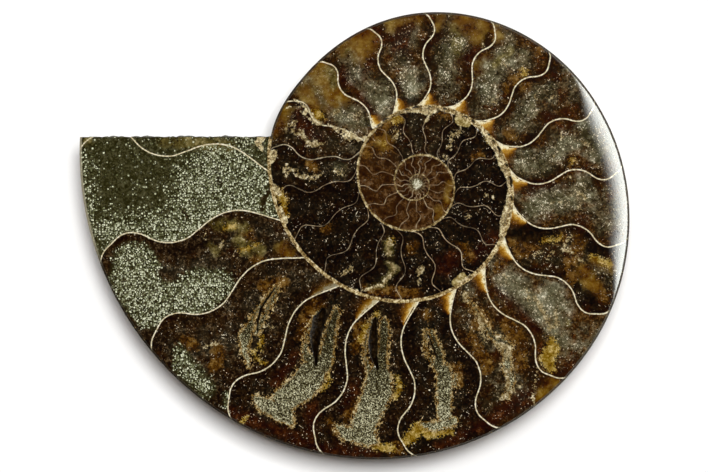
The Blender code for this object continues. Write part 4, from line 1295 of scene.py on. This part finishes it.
tone = cut.field("tone")
lit = cut.add(streaky, tone, cut.math("MULTIPLY_ADD", mid_chamber, 0.35, -0.25), (broad, 0.2))
black_spar = tones(cut, cut.add(grainy, tone), (4, 1, 0), (12, 6, 1), (22, 13, 5), (38, 26, 14), (74, 59, 40))
brown_spar = tones(cut, lit, (20, 8, 0), (40, 22, 4), (58, 35, 10), (80, 54, 22), (118, 90, 54))
gray_spar = tones(cut, lit, (24, 16, 4), (42, 33, 17), (60, 50, 31), (82, 73, 50), (118, 110, 86))
red_spar = tones(cut, smoky, (24, 7, 0), (44, 16, 1), (62, 26, 3), (84, 42, 10), (112, 72, 34))
grayness = cut.step(cut.add(hue, cut.math("MULTIPLY_ADD", mid_chamber, 0.7, -0.45)), -0.5, 0.6)
warm_spar = cut.blend(grayness, brown_spar, gray_spar)
reddest = cut.add(hue, (middling, 0.5), (mid_chamber, 0.15))
warm_spar = cut.blend(cut.times(cut.step(reddest, -0.25, -0.9), 0.75), warm_spar, red_spar)
inner_noise = cut.add(smoky, (broad, 0.3))
inner_spar = tones(cut, inner_noise, (24, 8, 0), (40, 20, 4), (54, 31, 11), (68, 44, 20), (98, 72, 44))
moss_spar = tones(cut, grainy, (27, 24, 6), (39, 36, 15), (49, 46, 24), (61, 58, 35), (84, 80, 56))
look = cut.blend(cut.field("warmth"), black_spar, warm_spar)
look = cut.blend(inner_whorls, look, inner_spar)
near_grains = cut.times(cut.step(cut.field("grain"), -1.0, 0.5), 0.8)
moss = cut.math("MAXIMUM", cut.step(count, 2.02, 1.98), near_grains)
look = cut.blend(moss, look, moss_spar)
print("ground:", len(polished.node_tree.nodes), "nodes")

# %% [markdown]
# ## Stains and clouds
# Iron came in along cracks and left rust, orange and gold. Clear amber and olive spar and clouded grey spar
# filled what was open. Each is a ramp of tones under a soft ragged mask, and the marks with the widest soft
# edges look as if they lay deep in the stone.

# %% Polished cut: stains and clouds
rust = tones(cut, smoky, (16, 2, 0), (27, 8, 0), (40, 15, 2), (54, 24, 7), (86, 50, 26))
look = cut.blend(cut.times(ragged("rust", 0.9, 1.3, other), 0.85), look, rust)
marbled = cut.add((other, 0.75), (fine, 0.2), (tiny, 0.1))
orange = tones(cut, marbled, (26, 11, 0), (48, 26, 2), (74, 45, 9), (102, 71, 25), (142, 112, 60))
look = cut.blend(cut.times(ragged("orange", 1.2, 0.8), 0.85), look, orange)
olive_noise = cut.add(glassy, (fine, 0.2))
olive = tones(cut, olive_noise, (34, 26, 5), (60, 49, 18), (82, 71, 32), (106, 94, 50), (156, 142, 98))
amber = tones(cut, glassy, (62, 28, 0), (84, 47, 0), (98, 64, 6), (113, 82, 20), (138, 112, 48))
amber = cut.blend(cut.times(cut.step(broad, -0.6, 0.6), 0.3), amber, olive)
look = cut.blend(cut.times(ragged("amber", 0.8, 1.3, hue), 0.92), look, amber)
cloudy = cut.add((other, 0.4), (broad, 0.3), (wisps, 0.35), (fine, 0.22), tone)
milky = tones(cut, cloudy, (38, 33, 15), (60, 55, 32), (84, 80, 54), (116, 113, 86), (184, 182, 156))
milky_noise = cut.add((wisps, 0.6), (other, 0.4), (fine, 0.25))
look = cut.blend(cut.times(ragged("milky", 1.1, 1.9, milky_noise), 0.72), look, milky)
look = cut.blend(cut.times(ragged("olive", 0.8, 0.9, other), 0.9), look, olive)
bare = ragged("bare", 0.9, 0.5)
look = cut.blend(cut.times(bare, 0.85), look, black_spar)
print("with stains and clouds:", len(polished.node_tree.nodes), "nodes")

# %% [markdown]
# ## Crystals with painted glints
# Some crystals reach the face at an angle that throws light back. That glint is painted into the colour:
# small pale needles that run two ways, over the crystals' own pale tone. Two noises, turned and drawn out,
# make them. They gather in the clouds and keep out of clear amber. Gold comes after them, for it covers what
# it grew on.

# %% Polished cut: crystals with painted glints
needles = []
for turn in (0.5, 2.2):
    turned = cut.node("VectorRotate", {"Vector": mm, "Angle": turn}, rotation_type="Z_AXIS").outputs[0]
    drawn = cut.node("VectorMath", {0: turned, 1: (1.0, 0.45, 1.0)}, operation="MULTIPLY").outputs[0]
    needles.append(cut.noise(drawn, 0.29, 1))
needle = cut.math("MAXIMUM", *needles)
near_milky = cut.step(cut.field("milky"), -1.4, 0.4)
cluster = cut.add((broad, 0.25), (middling, 0.2), (near_milky, 0.2))
cluster = cut.add(cluster, cut.times(mid_chamber, cut.field("warmth"), 0.14), 0.05)
cluster = cut.less(cluster, cut.add((inner_whorls, 0.2), (moss, 0.4)))
# painted glints: where the needle noise peaks, pale crystals are painted bright as if they threw light back
painted_glint = cut.step(cut.add(needle, cluster), 1.04, 1.3)
amber_clear = cut.times(cut.step(cut.field("amber"), -0.4, 0.6), 0.8)
painted_glint = cut.times(painted_glint, cut.less(1.0, bare), cut.less(1.0, amber_clear))
painted_glint_color = cut.blend(cut.step(other, -0.6, 0.6), paint(170, 150, 116), paint(234, 224, 198))
look = cut.blend(cut.times(painted_glint, 0.9), look, painted_glint_color)

gold_noise = cut.add(marbled, (needle, 0.35))
gold = tones(cut, gold_noise, (74, 42, 0), (102, 72, 4), (126, 98, 24), (152, 128, 62), (194, 170, 112))
gold_mask = ragged("gold", 1.0, 0.35, cut.add((rough_edge, 0.8), (tiny, 0.6)))
look = cut.blend(gold_mask, look, gold)
print("with crystals:", len(polished.node_tree.nodes), "nodes")

# %% [markdown]
# ## Grains, sand and threads
# The first chambers hold pale grains, dense in the middle and scattered further out. Pale sand fills the
# middles of others, with a brown crystal fringe round it. White threads are veins that healed, lumps are
# clear yellow spar on the second whorl's wall, and rubble is its crumbled shell.

# %% Polished cut: grains, sand and threads
grain = cut.field("grain")
grain_share = cut.step(cut.add(grain, (other, 0.9)), -1.4, 1.8)
scattered = cut.step(cut.add(grain, (other, 1.2)), -5.2, 2.2)
grain_share = cut.math("MAXIMUM", grain_share, cut.times(scattered, cut.step(count, 2.02, 1.98), 0.8))
grain_share = cut.math("MAXIMUM", cut.times(grain_share, 0.86), cut.times(moss, 0.11))
grain_share = cut.times(grain_share, cut.less(1.0, bare))
for size in (0.53, 0.38):  # mm
    grains = cut.use(GRAINS, Position=mm, Size=size, Share=grain_share, Fill=0.5)
    shade = cut.math("MULTIPLY_ADD", grains["Shade"], 1.5, -0.75)
    grain_color = tones(cut, shade, (86, 88, 57), (130, 132, 100), (222, 224, 194))
    look = cut.blend(grains["Mask"], look, grain_color)

sand_grains = cut.use(GRAINS, Position=mm, Size=0.34, Share=0.8, Fill=0.6)
sand_shade = cut.math("MULTIPLY_ADD", sand_grains["Shade"], 1.4, -0.7)
crumbly_edge = cut.add((rough_edge, 0.9), (sand_shade, 0.7), (needle, 0.3), -0.12)
salt = cut.noise(aside, 0.3, 2, 0.8)
fringe_noise = cut.add((needle, 0.9), (middling, 0.6))
fringe_level = cut.math("MULTIPLY_ADD", fringe_noise, 0.95, cut.add(cut.field("sand"), 0.15))
fringe_tone = cut.add(grainy, (needle, 0.3))
fringe = tones(cut, fringe_tone, (50, 28, 3), (88, 58, 15), (122, 92, 40), (158, 132, 80), (218, 198, 154))
look = cut.blend(cut.times(cut.step(fringe_level, -0.05, 0.5), 0.9), look, fringe)
sand_mask = ragged("sand", 1.0, 0.2, cut.add((crumbly_edge, 0.6), -0.22))
sand_light = cut.add((sand_shade, 0.8), (salt, 1.35), (other, 0.35), -0.06)
sand_light = cut.add(sand_light, cut.math("MULTIPLY_ADD", cut.step(height, 0.2, 0.75), 0.72, -0.82))
sand = tones(cut, sand_light, (32, 25, 6), (68, 60, 33), (102, 96, 65), (140, 135, 103), (212, 208, 175))
sand_edge = cut.step(cut.field("sand"), 0.7, 0.0)
sand = cut.blend(cut.times(sand_edge, cut.step(needle, 0.2, 0.8), 0.6), sand, paint(176, 142, 86))
look = cut.blend(sand_mask, look, sand)

vein_level = cut.add((crumbly_edge, 0.6), (needle, 0.3), -0.12)
vein_mask = ragged("vein", 1.0, 0.16, vein_level)
vein = tones(cut, grainy, (52, 34, 10), (92, 74, 40), (128, 110, 72), (164, 148, 110), (218, 206, 176))
look = cut.blend(vein_mask, look, vein)
lump = tones(cut, grainy, (92, 72, 26), (118, 98, 48), (142, 124, 74), (168, 152, 104), (202, 190, 148))
look = cut.blend(ragged("lump", 0.25, 0.15), look, lump)
crumb_noise = cut.add((grainy, 0.6), (sand_shade, 0.8))
rubble_tones = (62, 44, 14), (110, 90, 48), (146, 128, 84), (176, 160, 118), (222, 210, 174)
rubble = tones(cut, crumb_noise, *rubble_tones)
rubble_mask = ragged("rubble", 1.0, 0.14, cut.add((rough_edge, 0.5), -0.07))
look = cut.blend(rubble_mask, look, rubble)
print("with grains, sand and threads:", len(polished.node_tree.nodes), "nodes")

# %% [markdown]
# ## Wedges, septa and walls
# The wedges glow from dark brown at their foot to cream at the septum. Septa are white and thick on the last
# whorl and thin and broken further in, where two below the centre kept their white shell. The whorls' wall
# is cream crumbs, the rim is a dark line, and the first chamber in the middle is a pale ball in a ring. Deep
# in the slots and pits the colour turns near black: painted shade over their dark crystal lining.

# %% Polished cut: wedges and walls
wedge = cut.add(cut.field("wedge"), (middling, 0.1), (tiny, 0.06))
wedge_stops = (
    (0.1, (36, 15, 0)), (0.38, (76, 40, 2)), (0.61, (132, 84, 14)), (0.77, (184, 142, 54)),
    (0.9, (228, 220, 180)),
)  # fmt: skip
wedge_mask = cut.times(cut.step(wedge, 0.0, 0.75), cut.step(count, 2.5, 7.0))
look = cut.blend(wedge_mask, look, cut.ramp(wedge, wedge_stops))

outer_whorl = cut.step(count, 19.4, 18.6)
half_width = cut.math("MULTIPLY_ADD", outer_whorl, 0.055, 0.078)
flare = cut.times(cut.step(height, 0.07, 0.0), outer_whorl, cut.step(count, 5.5, 8.0), 0.35)
half_width = cut.add(half_width, flare, (fine, 0.02))
septum = cut.use(RULED, Count=count, Slope=slope, Half_Width=half_width, Softness=0.07)
white_pair = cut.times(cut.step(count, 24.4, 24.7), cut.step(count, 26.6, 26.3), 0.5)  # the 25th and 26th
strength = cut.math("MULTIPLY_ADD", cut.step(broad, -0.7, 0.5), 0.5, cut.add(0.26, white_pair))
strength = cut.math("MAXIMUM", outer_whorl, strength)
outer_shell = tones(cut, fine, (176, 160, 122), (212, 200, 166), (238, 230, 206))
inner_shell = tones(cut, middling, (108, 88, 62), (154, 134, 104), (198, 182, 150))
cracked = cut.times(cut.step(count, 17.6, 17.7), cut.step(count, 18.5, 18.4))  # one septum is in pieces
cracked = cut.times(cracked, cut.step(rough_edge, -0.2, 0.3))
septum_mask = cut.times(septum["Mask"], strength, cut.step(count, 0.5, 0.6), cut.less(1.0, cracked))
look = cut.blend(septum_mask, look, cut.blend(outer_whorl, inner_shell, outer_shell))

wall_mask = cut.use(RAGGED, Level=cut.field("wall"), Noise=rough_edge, Amount=0.14, Softness=0.1)[0]
wall_tone = cut.add(grainy, (needle, 0.45))
wall_tones = (50, 34, 10), (92, 71, 36), (134, 111, 67), (174, 153, 108), (230, 215, 174)
wall_color = tones(cut, wall_tone, *wall_tones)
wall_color = cut.blend(cut.times(cut.step(count, 31, 34), 0.4), wall_color, paint(84, 68, 30))
look = cut.blend(wall_mask, look, wall_color)
rim_mask = cut.step(cut.add(cut.field("rim"), (fine, 0.08)), 0.64, 0.38)
rim_color = cut.blend(cut.step(fine, 0.65, 1.0), paint(26, 19, 6), paint(150, 130, 84))
rim_color = cut.blend(cut.step(count, 2.1, 1.8), rim_color, paint(150, 142, 118))  # bare shell by the mouth
look = cut.blend(cut.times(rim_mask, 0.8), look, rim_color)
core = cut.add(cut.field("core"), (fine, 0.2))
core_ring = tones(cut, grainy, (50, 40, 18), (82, 70, 42), (124, 114, 84))
look = cut.blend(cut.times(cut.step(core, -1.2, -0.2), 0.5), look, core_ring)
core_tone = cut.add(grainy, (tiny, 0.4))
core_color = tones(cut, core_tone, (70, 62, 38), (146, 140, 110), (226, 222, 200))
look = cut.blend(cut.step(core, -0.1, 0.25), look, core_color)
sunk = cut.field("sunk")
# painted shade: below the cut the slots and pits turn near black, the hollows' shade painted over their dark
# lining
slot_shade_and_lining = tones(cut, grainy, (5, 2, 0), (16, 9, 2), (27, 18, 8), (42, 30, 16), (70, 54, 34))
look = cut.blend(cut.step(sunk, 0.15, 0.5), look, slot_shade_and_lining)
print("with wedges and walls:", len(polished.node_tree.nodes), "nodes")

# %% [markdown]
# ## Shine
# The polish is smooth, with a ripple far too fine to see as relief. Rubble, sand, the rim and the inside of
# the slots never took it and stay dull. Calcite bends light a little more than glass does.

# %% Polished cut: shine
dull = cut.math("MAXIMUM", cut.times(sand_mask, 0.25), rubble_mask)
dull = cut.math("MAXIMUM", dull, cut.step(sunk, 0.05, 0.3))
cut.join(stone.inputs["Base Color"], look)
roughness = cut.math("MAXIMUM", cut.math("MULTIPLY_ADD", dull, 0.42, 0.14), cut.times(rim_mask, 0.95))
cut.join(stone.inputs["Roughness"], roughness)
stone.inputs["IOR"].default_value = 1.62
polish = cut.add((fine, 0.6), (needle, 0.8))
grit = cut.add((polish, 0.19), cut.times(dull, fine, 0.6), cut.times(dull, tiny, 0.4))
bump = cut.node("Bump", {"Height": grit, "Strength": 1.0, "Distance": 0.00005})
cut.join(stone.inputs["Normal"], bump.outputs["Normal"])
print("nodes in the cut:", len(polished.node_tree.nodes))

# %% [markdown]
# ## The outer shell
# The flank under the cut and round its edge is the fossil's own outside, tumbled to a soft shine. Growth
# lines sweep from the wall to the venter. Where the thin shell is gone, the septa's frilled sutures show.

# %% Outer shell
outside, side, shell = new_material("outer shell")
mm = side.position()
cloud, fine_cloud = side.noise(mm, 6.0, 4, 0.6), side.noise(mm, 0.7, 3)
count, height = side.field("count"), side.field("height")
curl = side.math("SINE", side.times(height, 5.2))
growth_place = side.node("CombineXYZ", {
    0: side.add(side.times(side.field("turn"), 74.0), (curl, 1.1), (height, -2.4)),
    1: side.times(height, 0.9),
})  # fmt: skip
growth = side.noise(growth_place.outputs[0], 1.0, 5, 0.7)
shell_noise = side.add((growth, 0.5), (cloud, 0.55), (fine_cloud, 0.15))
look = tones(side, shell_noise, (54, 34, 16), (96, 64, 34), (140, 102, 62), (182, 148, 104), (220, 198, 158))
pearl = side.blend(side.step(fine_cloud, -0.5, 0.5), paint(140, 62, 30), paint(92, 112, 58))
pearly = side.times(side.step(side.noise(mm, 9.0, 3), 0.35, 0.9), side.step(growth, -0.3, 0.6), 0.5)
look = side.blend(pearly, look, pearl)
frill = side.add(side.times(side.math("SINE", side.times(height, 44.0)), 0.1), (fine_cloud, 0.05))
frill = side.add(frill, side.times(side.math("SINE", side.times(height, 123.0)), 0.035))
frilled = side.add(count, frill)
suture = side.use(RULED, Count=frilled, Slope=side.field("slope"), Half_Width=0.26, Softness=0.12)
worn = side.times(side.step(cloud, -0.9, 0.1), side.step(count, 0.5, 1.0), 0.8)
look = side.blend(side.times(suture["Mask"], worn), look, paint(38, 22, 10))
side.join(shell.inputs["Base Color"], look)
side.join(shell.inputs["Roughness"], side.math("MULTIPLY_ADD", side.step(fine_cloud, -0.8, 1.0), 0.25, 0.2))
shell.inputs["IOR"].default_value = 1.58
relief = side.add((growth, 0.7), (fine_cloud, 0.15), side.times(suture["Mask"], worn, -0.4))
bump = side.node("Bump", {"Height": relief, "Strength": 1.0, "Distance": 0.00008})
side.join(shell.inputs["Normal"], bump.outputs["Normal"])
print("nodes in the shell:", len(outside.node_tree.nodes))

# %% [markdown]
# ## The broken end
# The youngest chamber filled with dark green mud stone and snapped with it, so the end is dull and granular,
# with the shell as a thin pale line round it.

# %% Broken end
broken, end, mudstone = new_material("broken end")
mm = end.position()
coarse, fine_noise = end.noise(mm, 1.4, 4, 0.7), end.noise(mm, 0.5, 2)
end_noise = end.add((coarse, 0.6), (fine_noise, 0.5))
look = tones(end, end_noise, (26, 23, 7), (42, 39, 18), (56, 53, 31), (74, 71, 48), (108, 105, 80))
grains = end.use(GRAINS, Position=mm, Size=0.55, Share=0.3, Fill=0.5)
grain_color = tones(end, grains["Shade"], (96, 98, 66), (150, 152, 120), (196, 198, 168))
look = end.blend(grains["Mask"], look, grain_color)
border = end.add(end.field("border"), (fine_noise, 0.15))
shell_color = tones(end, fine_noise, (104, 72, 40), (168, 140, 98), (214, 194, 156))
look = end.blend(end.step(border, 0.75, 0.45), look, shell_color)
end.join(mudstone.inputs["Base Color"], look)
mudstone.inputs["Roughness"].default_value = 0.62
bump = end.node("Bump", {"Height": end_noise, "Strength": 1.0, "Distance": 0.00015})
end.join(mudstone.inputs["Normal"], bump.outputs["Normal"])
for material in (polished, outside, broken):
    mesh.materials.append(material)
print("materials on the piece:", [material.name for material in mesh.materials])

# %% [markdown]
# ## White board
# The piece lies on a plain white board. It is matt and has no gloss at all, so it mirrors nothing and the
# piece's shadow is all that shows on it.

# %% Floor material
floor_paint, _, board = new_material("white board")
board.inputs["Base Color"].default_value = (0.82, 0.82, 0.815, 1)
board.inputs["Roughness"].default_value = 0.8
board.inputs["Specular IOR Level"].default_value = 0.0
print("board:", [round(c, 3) for c in board.inputs["Base Color"].default_value[:3]])

# %% [markdown]
# ## Room
# Polished stone mirrors what is straight above it, so the world is dark there and the blacks stay deep. Low
# down it is pale, which lights the flanks and the shadow softly.

# %% Floor and world
FLOOR_SIDE = 4.0  # m
PALE_SKY, DARK_SKY = (0.24, 0.24, 0.24, 1), (0.012, 0.012, 0.012, 1)
SKY_STOPS = ((0.1, PALE_SKY), (0.88, DARK_SKY))  # sine of the height above the horizon
floor_mesh = bpy.data.meshes.new("floor")
half_side = FLOOR_SIDE / 2
corners = [(x * half_side, y * half_side, 0) for x, y in ((-1, -1), (1, -1), (1, 1), (-1, 1))]
floor_mesh.from_pydata(corners, [], [(0, 1, 2, 3)])
floor = bpy.data.objects.new("Floor", floor_mesh)
bpy.context.scene.collection.objects.link(floor)
floor_mesh.materials.append(floor_paint)

world = bpy.data.worlds.new("Studio")
bpy.context.scene.world = world
world.use_nodes = True
nodes, links = world.node_tree.nodes, world.node_tree.links
background = nodes["Background"]
direction = nodes.new("ShaderNodeTexCoord")
split = nodes.new("ShaderNodeSeparateXYZ")
sky = nodes.new("ShaderNodeValToRGB")
for stop, (spot, color) in zip(sky.color_ramp.elements, SKY_STOPS):
    stop.position, stop.color = spot, color
links.new(direction.outputs["Generated"], split.inputs["Vector"])
links.new(split.outputs["Z"], sky.inputs["Fac"])
links.new(sky.outputs["Color"], background.inputs["Color"])
background.inputs["Strength"].default_value = 1.0
print("floor", FLOOR_SIDE, "m wide, sky from", PALE_SKY[0], "down to", DARK_SKY[0], "overhead")

# %% [markdown]
# ## Lights
# A big soft key hangs 3 m away and nearly overhead, a little towards the upper right, so the shadow is
# short and soft. A weak fill from the left opens it slightly. Neither shows in mirrors, or the polished face
# would carry white squares.

# %% Lights
TARGET = Vector((0, 0, 0.01))  # m, the middle of the piece


def soft_light(name, side, energy, azimuth, elevation, distance):
    """A square lamp that looks at the piece: side and distance in m, angles in degrees, energy in W."""
    lamp = bpy.data.lights.new(name, "AREA")
    lamp.size, lamp.energy = side, energy
    holder = bpy.data.objects.new(name, lamp)
    turn, rise = math.radians(azimuth), math.radians(elevation)
    away = Vector((math.cos(rise) * math.cos(turn), math.cos(rise) * math.sin(turn), math.sin(rise)))
    holder.location = TARGET + away * distance
    holder.rotation_euler = away.to_track_quat("Z", "Y").to_euler()
    bpy.context.scene.collection.objects.link(holder)
    return holder


key = soft_light("Key", side=0.9, energy=110.0, azimuth=69, elevation=79, distance=3.0)
fill = soft_light("Fill", side=0.7, energy=0.6, azimuth=150, elevation=45, distance=1.0)
for lamp in (key, fill):
    lamp.visible_camera = lamp.visible_glossy = False
print("key at, m:", [round(c, 2) for c in key.location], "fill at:", [round(c, 2) for c in fill.location])

# %% [markdown]
# ## A screen for the bevel to mirror
# The white band on the right bevel is the mirror image of something bright low down on that side. Here it is
# a piece of a sphere round the piece, which only mirrors see. It glows most near its foot and fades upwards
# and towards its sides, and on the side nearer the viewer its upper part is cut off along a slope, which
# is where the band's inner edge turns in.

# %% Screen for the bevel
GLARE_LOW, GLARE_HIGH, GLARE_TURN = 8, 77, 42  # degrees up, and to either side
GLARE_FULL = 26  # degrees up, where it stops fading
GLARE_DISTANCE = 0.8  # m
GLARE_RADIANCE = 17.0
GLARE_COLOR = (0.96, 1.0, 0.95, 1)
SLOPE_HEIGHT, SLOPE_RISE, SLOPE_SOFT = 0.656, 0.8, 0.04  # m at the middle, m per step round, m
SLOPE_FROM, SLOPE_FULL = -0.05, -0.16  # steps round, where the slope starts to cut and cuts fully
NEAR_DARK, NEAR_FULL = -0.34, -0.18  # steps round, the side nearer the viewer
FAR_DARK, FAR_FULL = 0.5, 0.28  # m in Y, the other side


def sky_patch(low_angle, high_angle, half_turn, distance, rows=24):
    """A curved screen on the right: a grid of quads, all at one distance from the middle."""
    spots, squares = [], []
    for row in range(rows + 1):
        rise = math.radians(low_angle + (high_angle - low_angle) * row / rows)
        for turn in (-half_turn, 0, half_turn):
            side = math.radians(turn)
            x, y, z = math.cos(rise) * math.cos(side), math.cos(rise) * math.sin(side), math.sin(rise)
            spots.append((distance * x, distance * y, distance * z))
    for row in range(rows):
        squares += [(3 * row + i, 3 * row + i + 1, 3 * row + i + 4, 3 * row + i + 3) for i in (0, 1)]
    screen_mesh = bpy.data.meshes.new("glare")
    screen_mesh.from_pydata(spots, [], squares)
    return screen_mesh


glare_mesh = sky_patch(GLARE_LOW, GLARE_HIGH, GLARE_TURN, GLARE_DISTANCE)
glare = bpy.data.objects.new("Glare", glare_mesh)
bpy.context.scene.collection.objects.link(glare)
glare_paint = bpy.data.materials.new("glare")
glare_paint.use_nodes = True
screen = Shader(glare_paint.node_tree)
screen.tree.nodes.remove(screen.tree.nodes["Principled BSDF"])
spot = screen.node("SeparateXYZ", {0: screen.node("TexCoord").outputs["Object"]})
round_to = screen.math("DIVIDE", spot.outputs["Y"], spot.outputs["X"])  # steps round from the right
slope_edge = screen.math("MULTIPLY_ADD", round_to, SLOPE_RISE, SLOPE_HEIGHT)
above_slope = screen.step(screen.less(spot.outputs["Z"], slope_edge), -SLOPE_SOFT, SLOPE_SOFT)
cut_off = screen.times(screen.step(round_to, SLOPE_FROM, SLOPE_FULL), above_slope)
dark_above, full_below = (GLARE_DISTANCE * math.sin(math.radians(a)) for a in (GLARE_HIGH, GLARE_FULL))
fade = screen.times(screen.step(spot.outputs["Z"], dark_above, full_below), screen.less(1.0, cut_off))
near_side = screen.step(round_to, NEAR_DARK, NEAR_FULL)
sideways = screen.times(near_side, screen.step(spot.outputs["Y"], FAR_DARK, FAR_FULL))
strength = screen.times(fade, sideways, GLARE_RADIANCE)
emission = screen.node("Emission", {"Color": GLARE_COLOR, "Strength": strength})
screen.join(screen.tree.nodes["Material Output"].inputs["Surface"], emission.outputs[0])
glare_mesh.materials.append(glare_paint)
glare.visible_camera = glare.visible_diffuse = glare.visible_shadow = False
print("screen:", len(glare_mesh.polygons), "quads")

# %% [markdown]
# ## Camera
# The camera looks straight down on the cut. A long lens from far away keeps the cut's outline free of
# perspective, and the standard view shows colours as they were written.

# %% Camera
FRAME_WIDTH = 0.1674  # m across at the cut
FRAME_MIDDLE = (-0.00016, -0.00006)  # m
LENS, SENSOR = 250, 36  # mm

camera_data = bpy.data.cameras.new("Camera")
camera_data.lens, camera_data.sensor_width = LENS, SENSOR
camera_data.clip_start, camera_data.clip_end = 0.01, 20
camera = bpy.data.objects.new("Camera", camera_data)
distance = FRAME_WIDTH * LENS / SENSOR
camera.location = (*FRAME_MIDDLE, high[2] / 1000 + distance)
bpy.context.scene.collection.objects.link(camera)
bpy.context.scene.camera = camera
view = bpy.context.scene.view_settings
view.view_transform, view.look = "Standard", "None"
print("camera", round(distance, 3), "m above the cut")
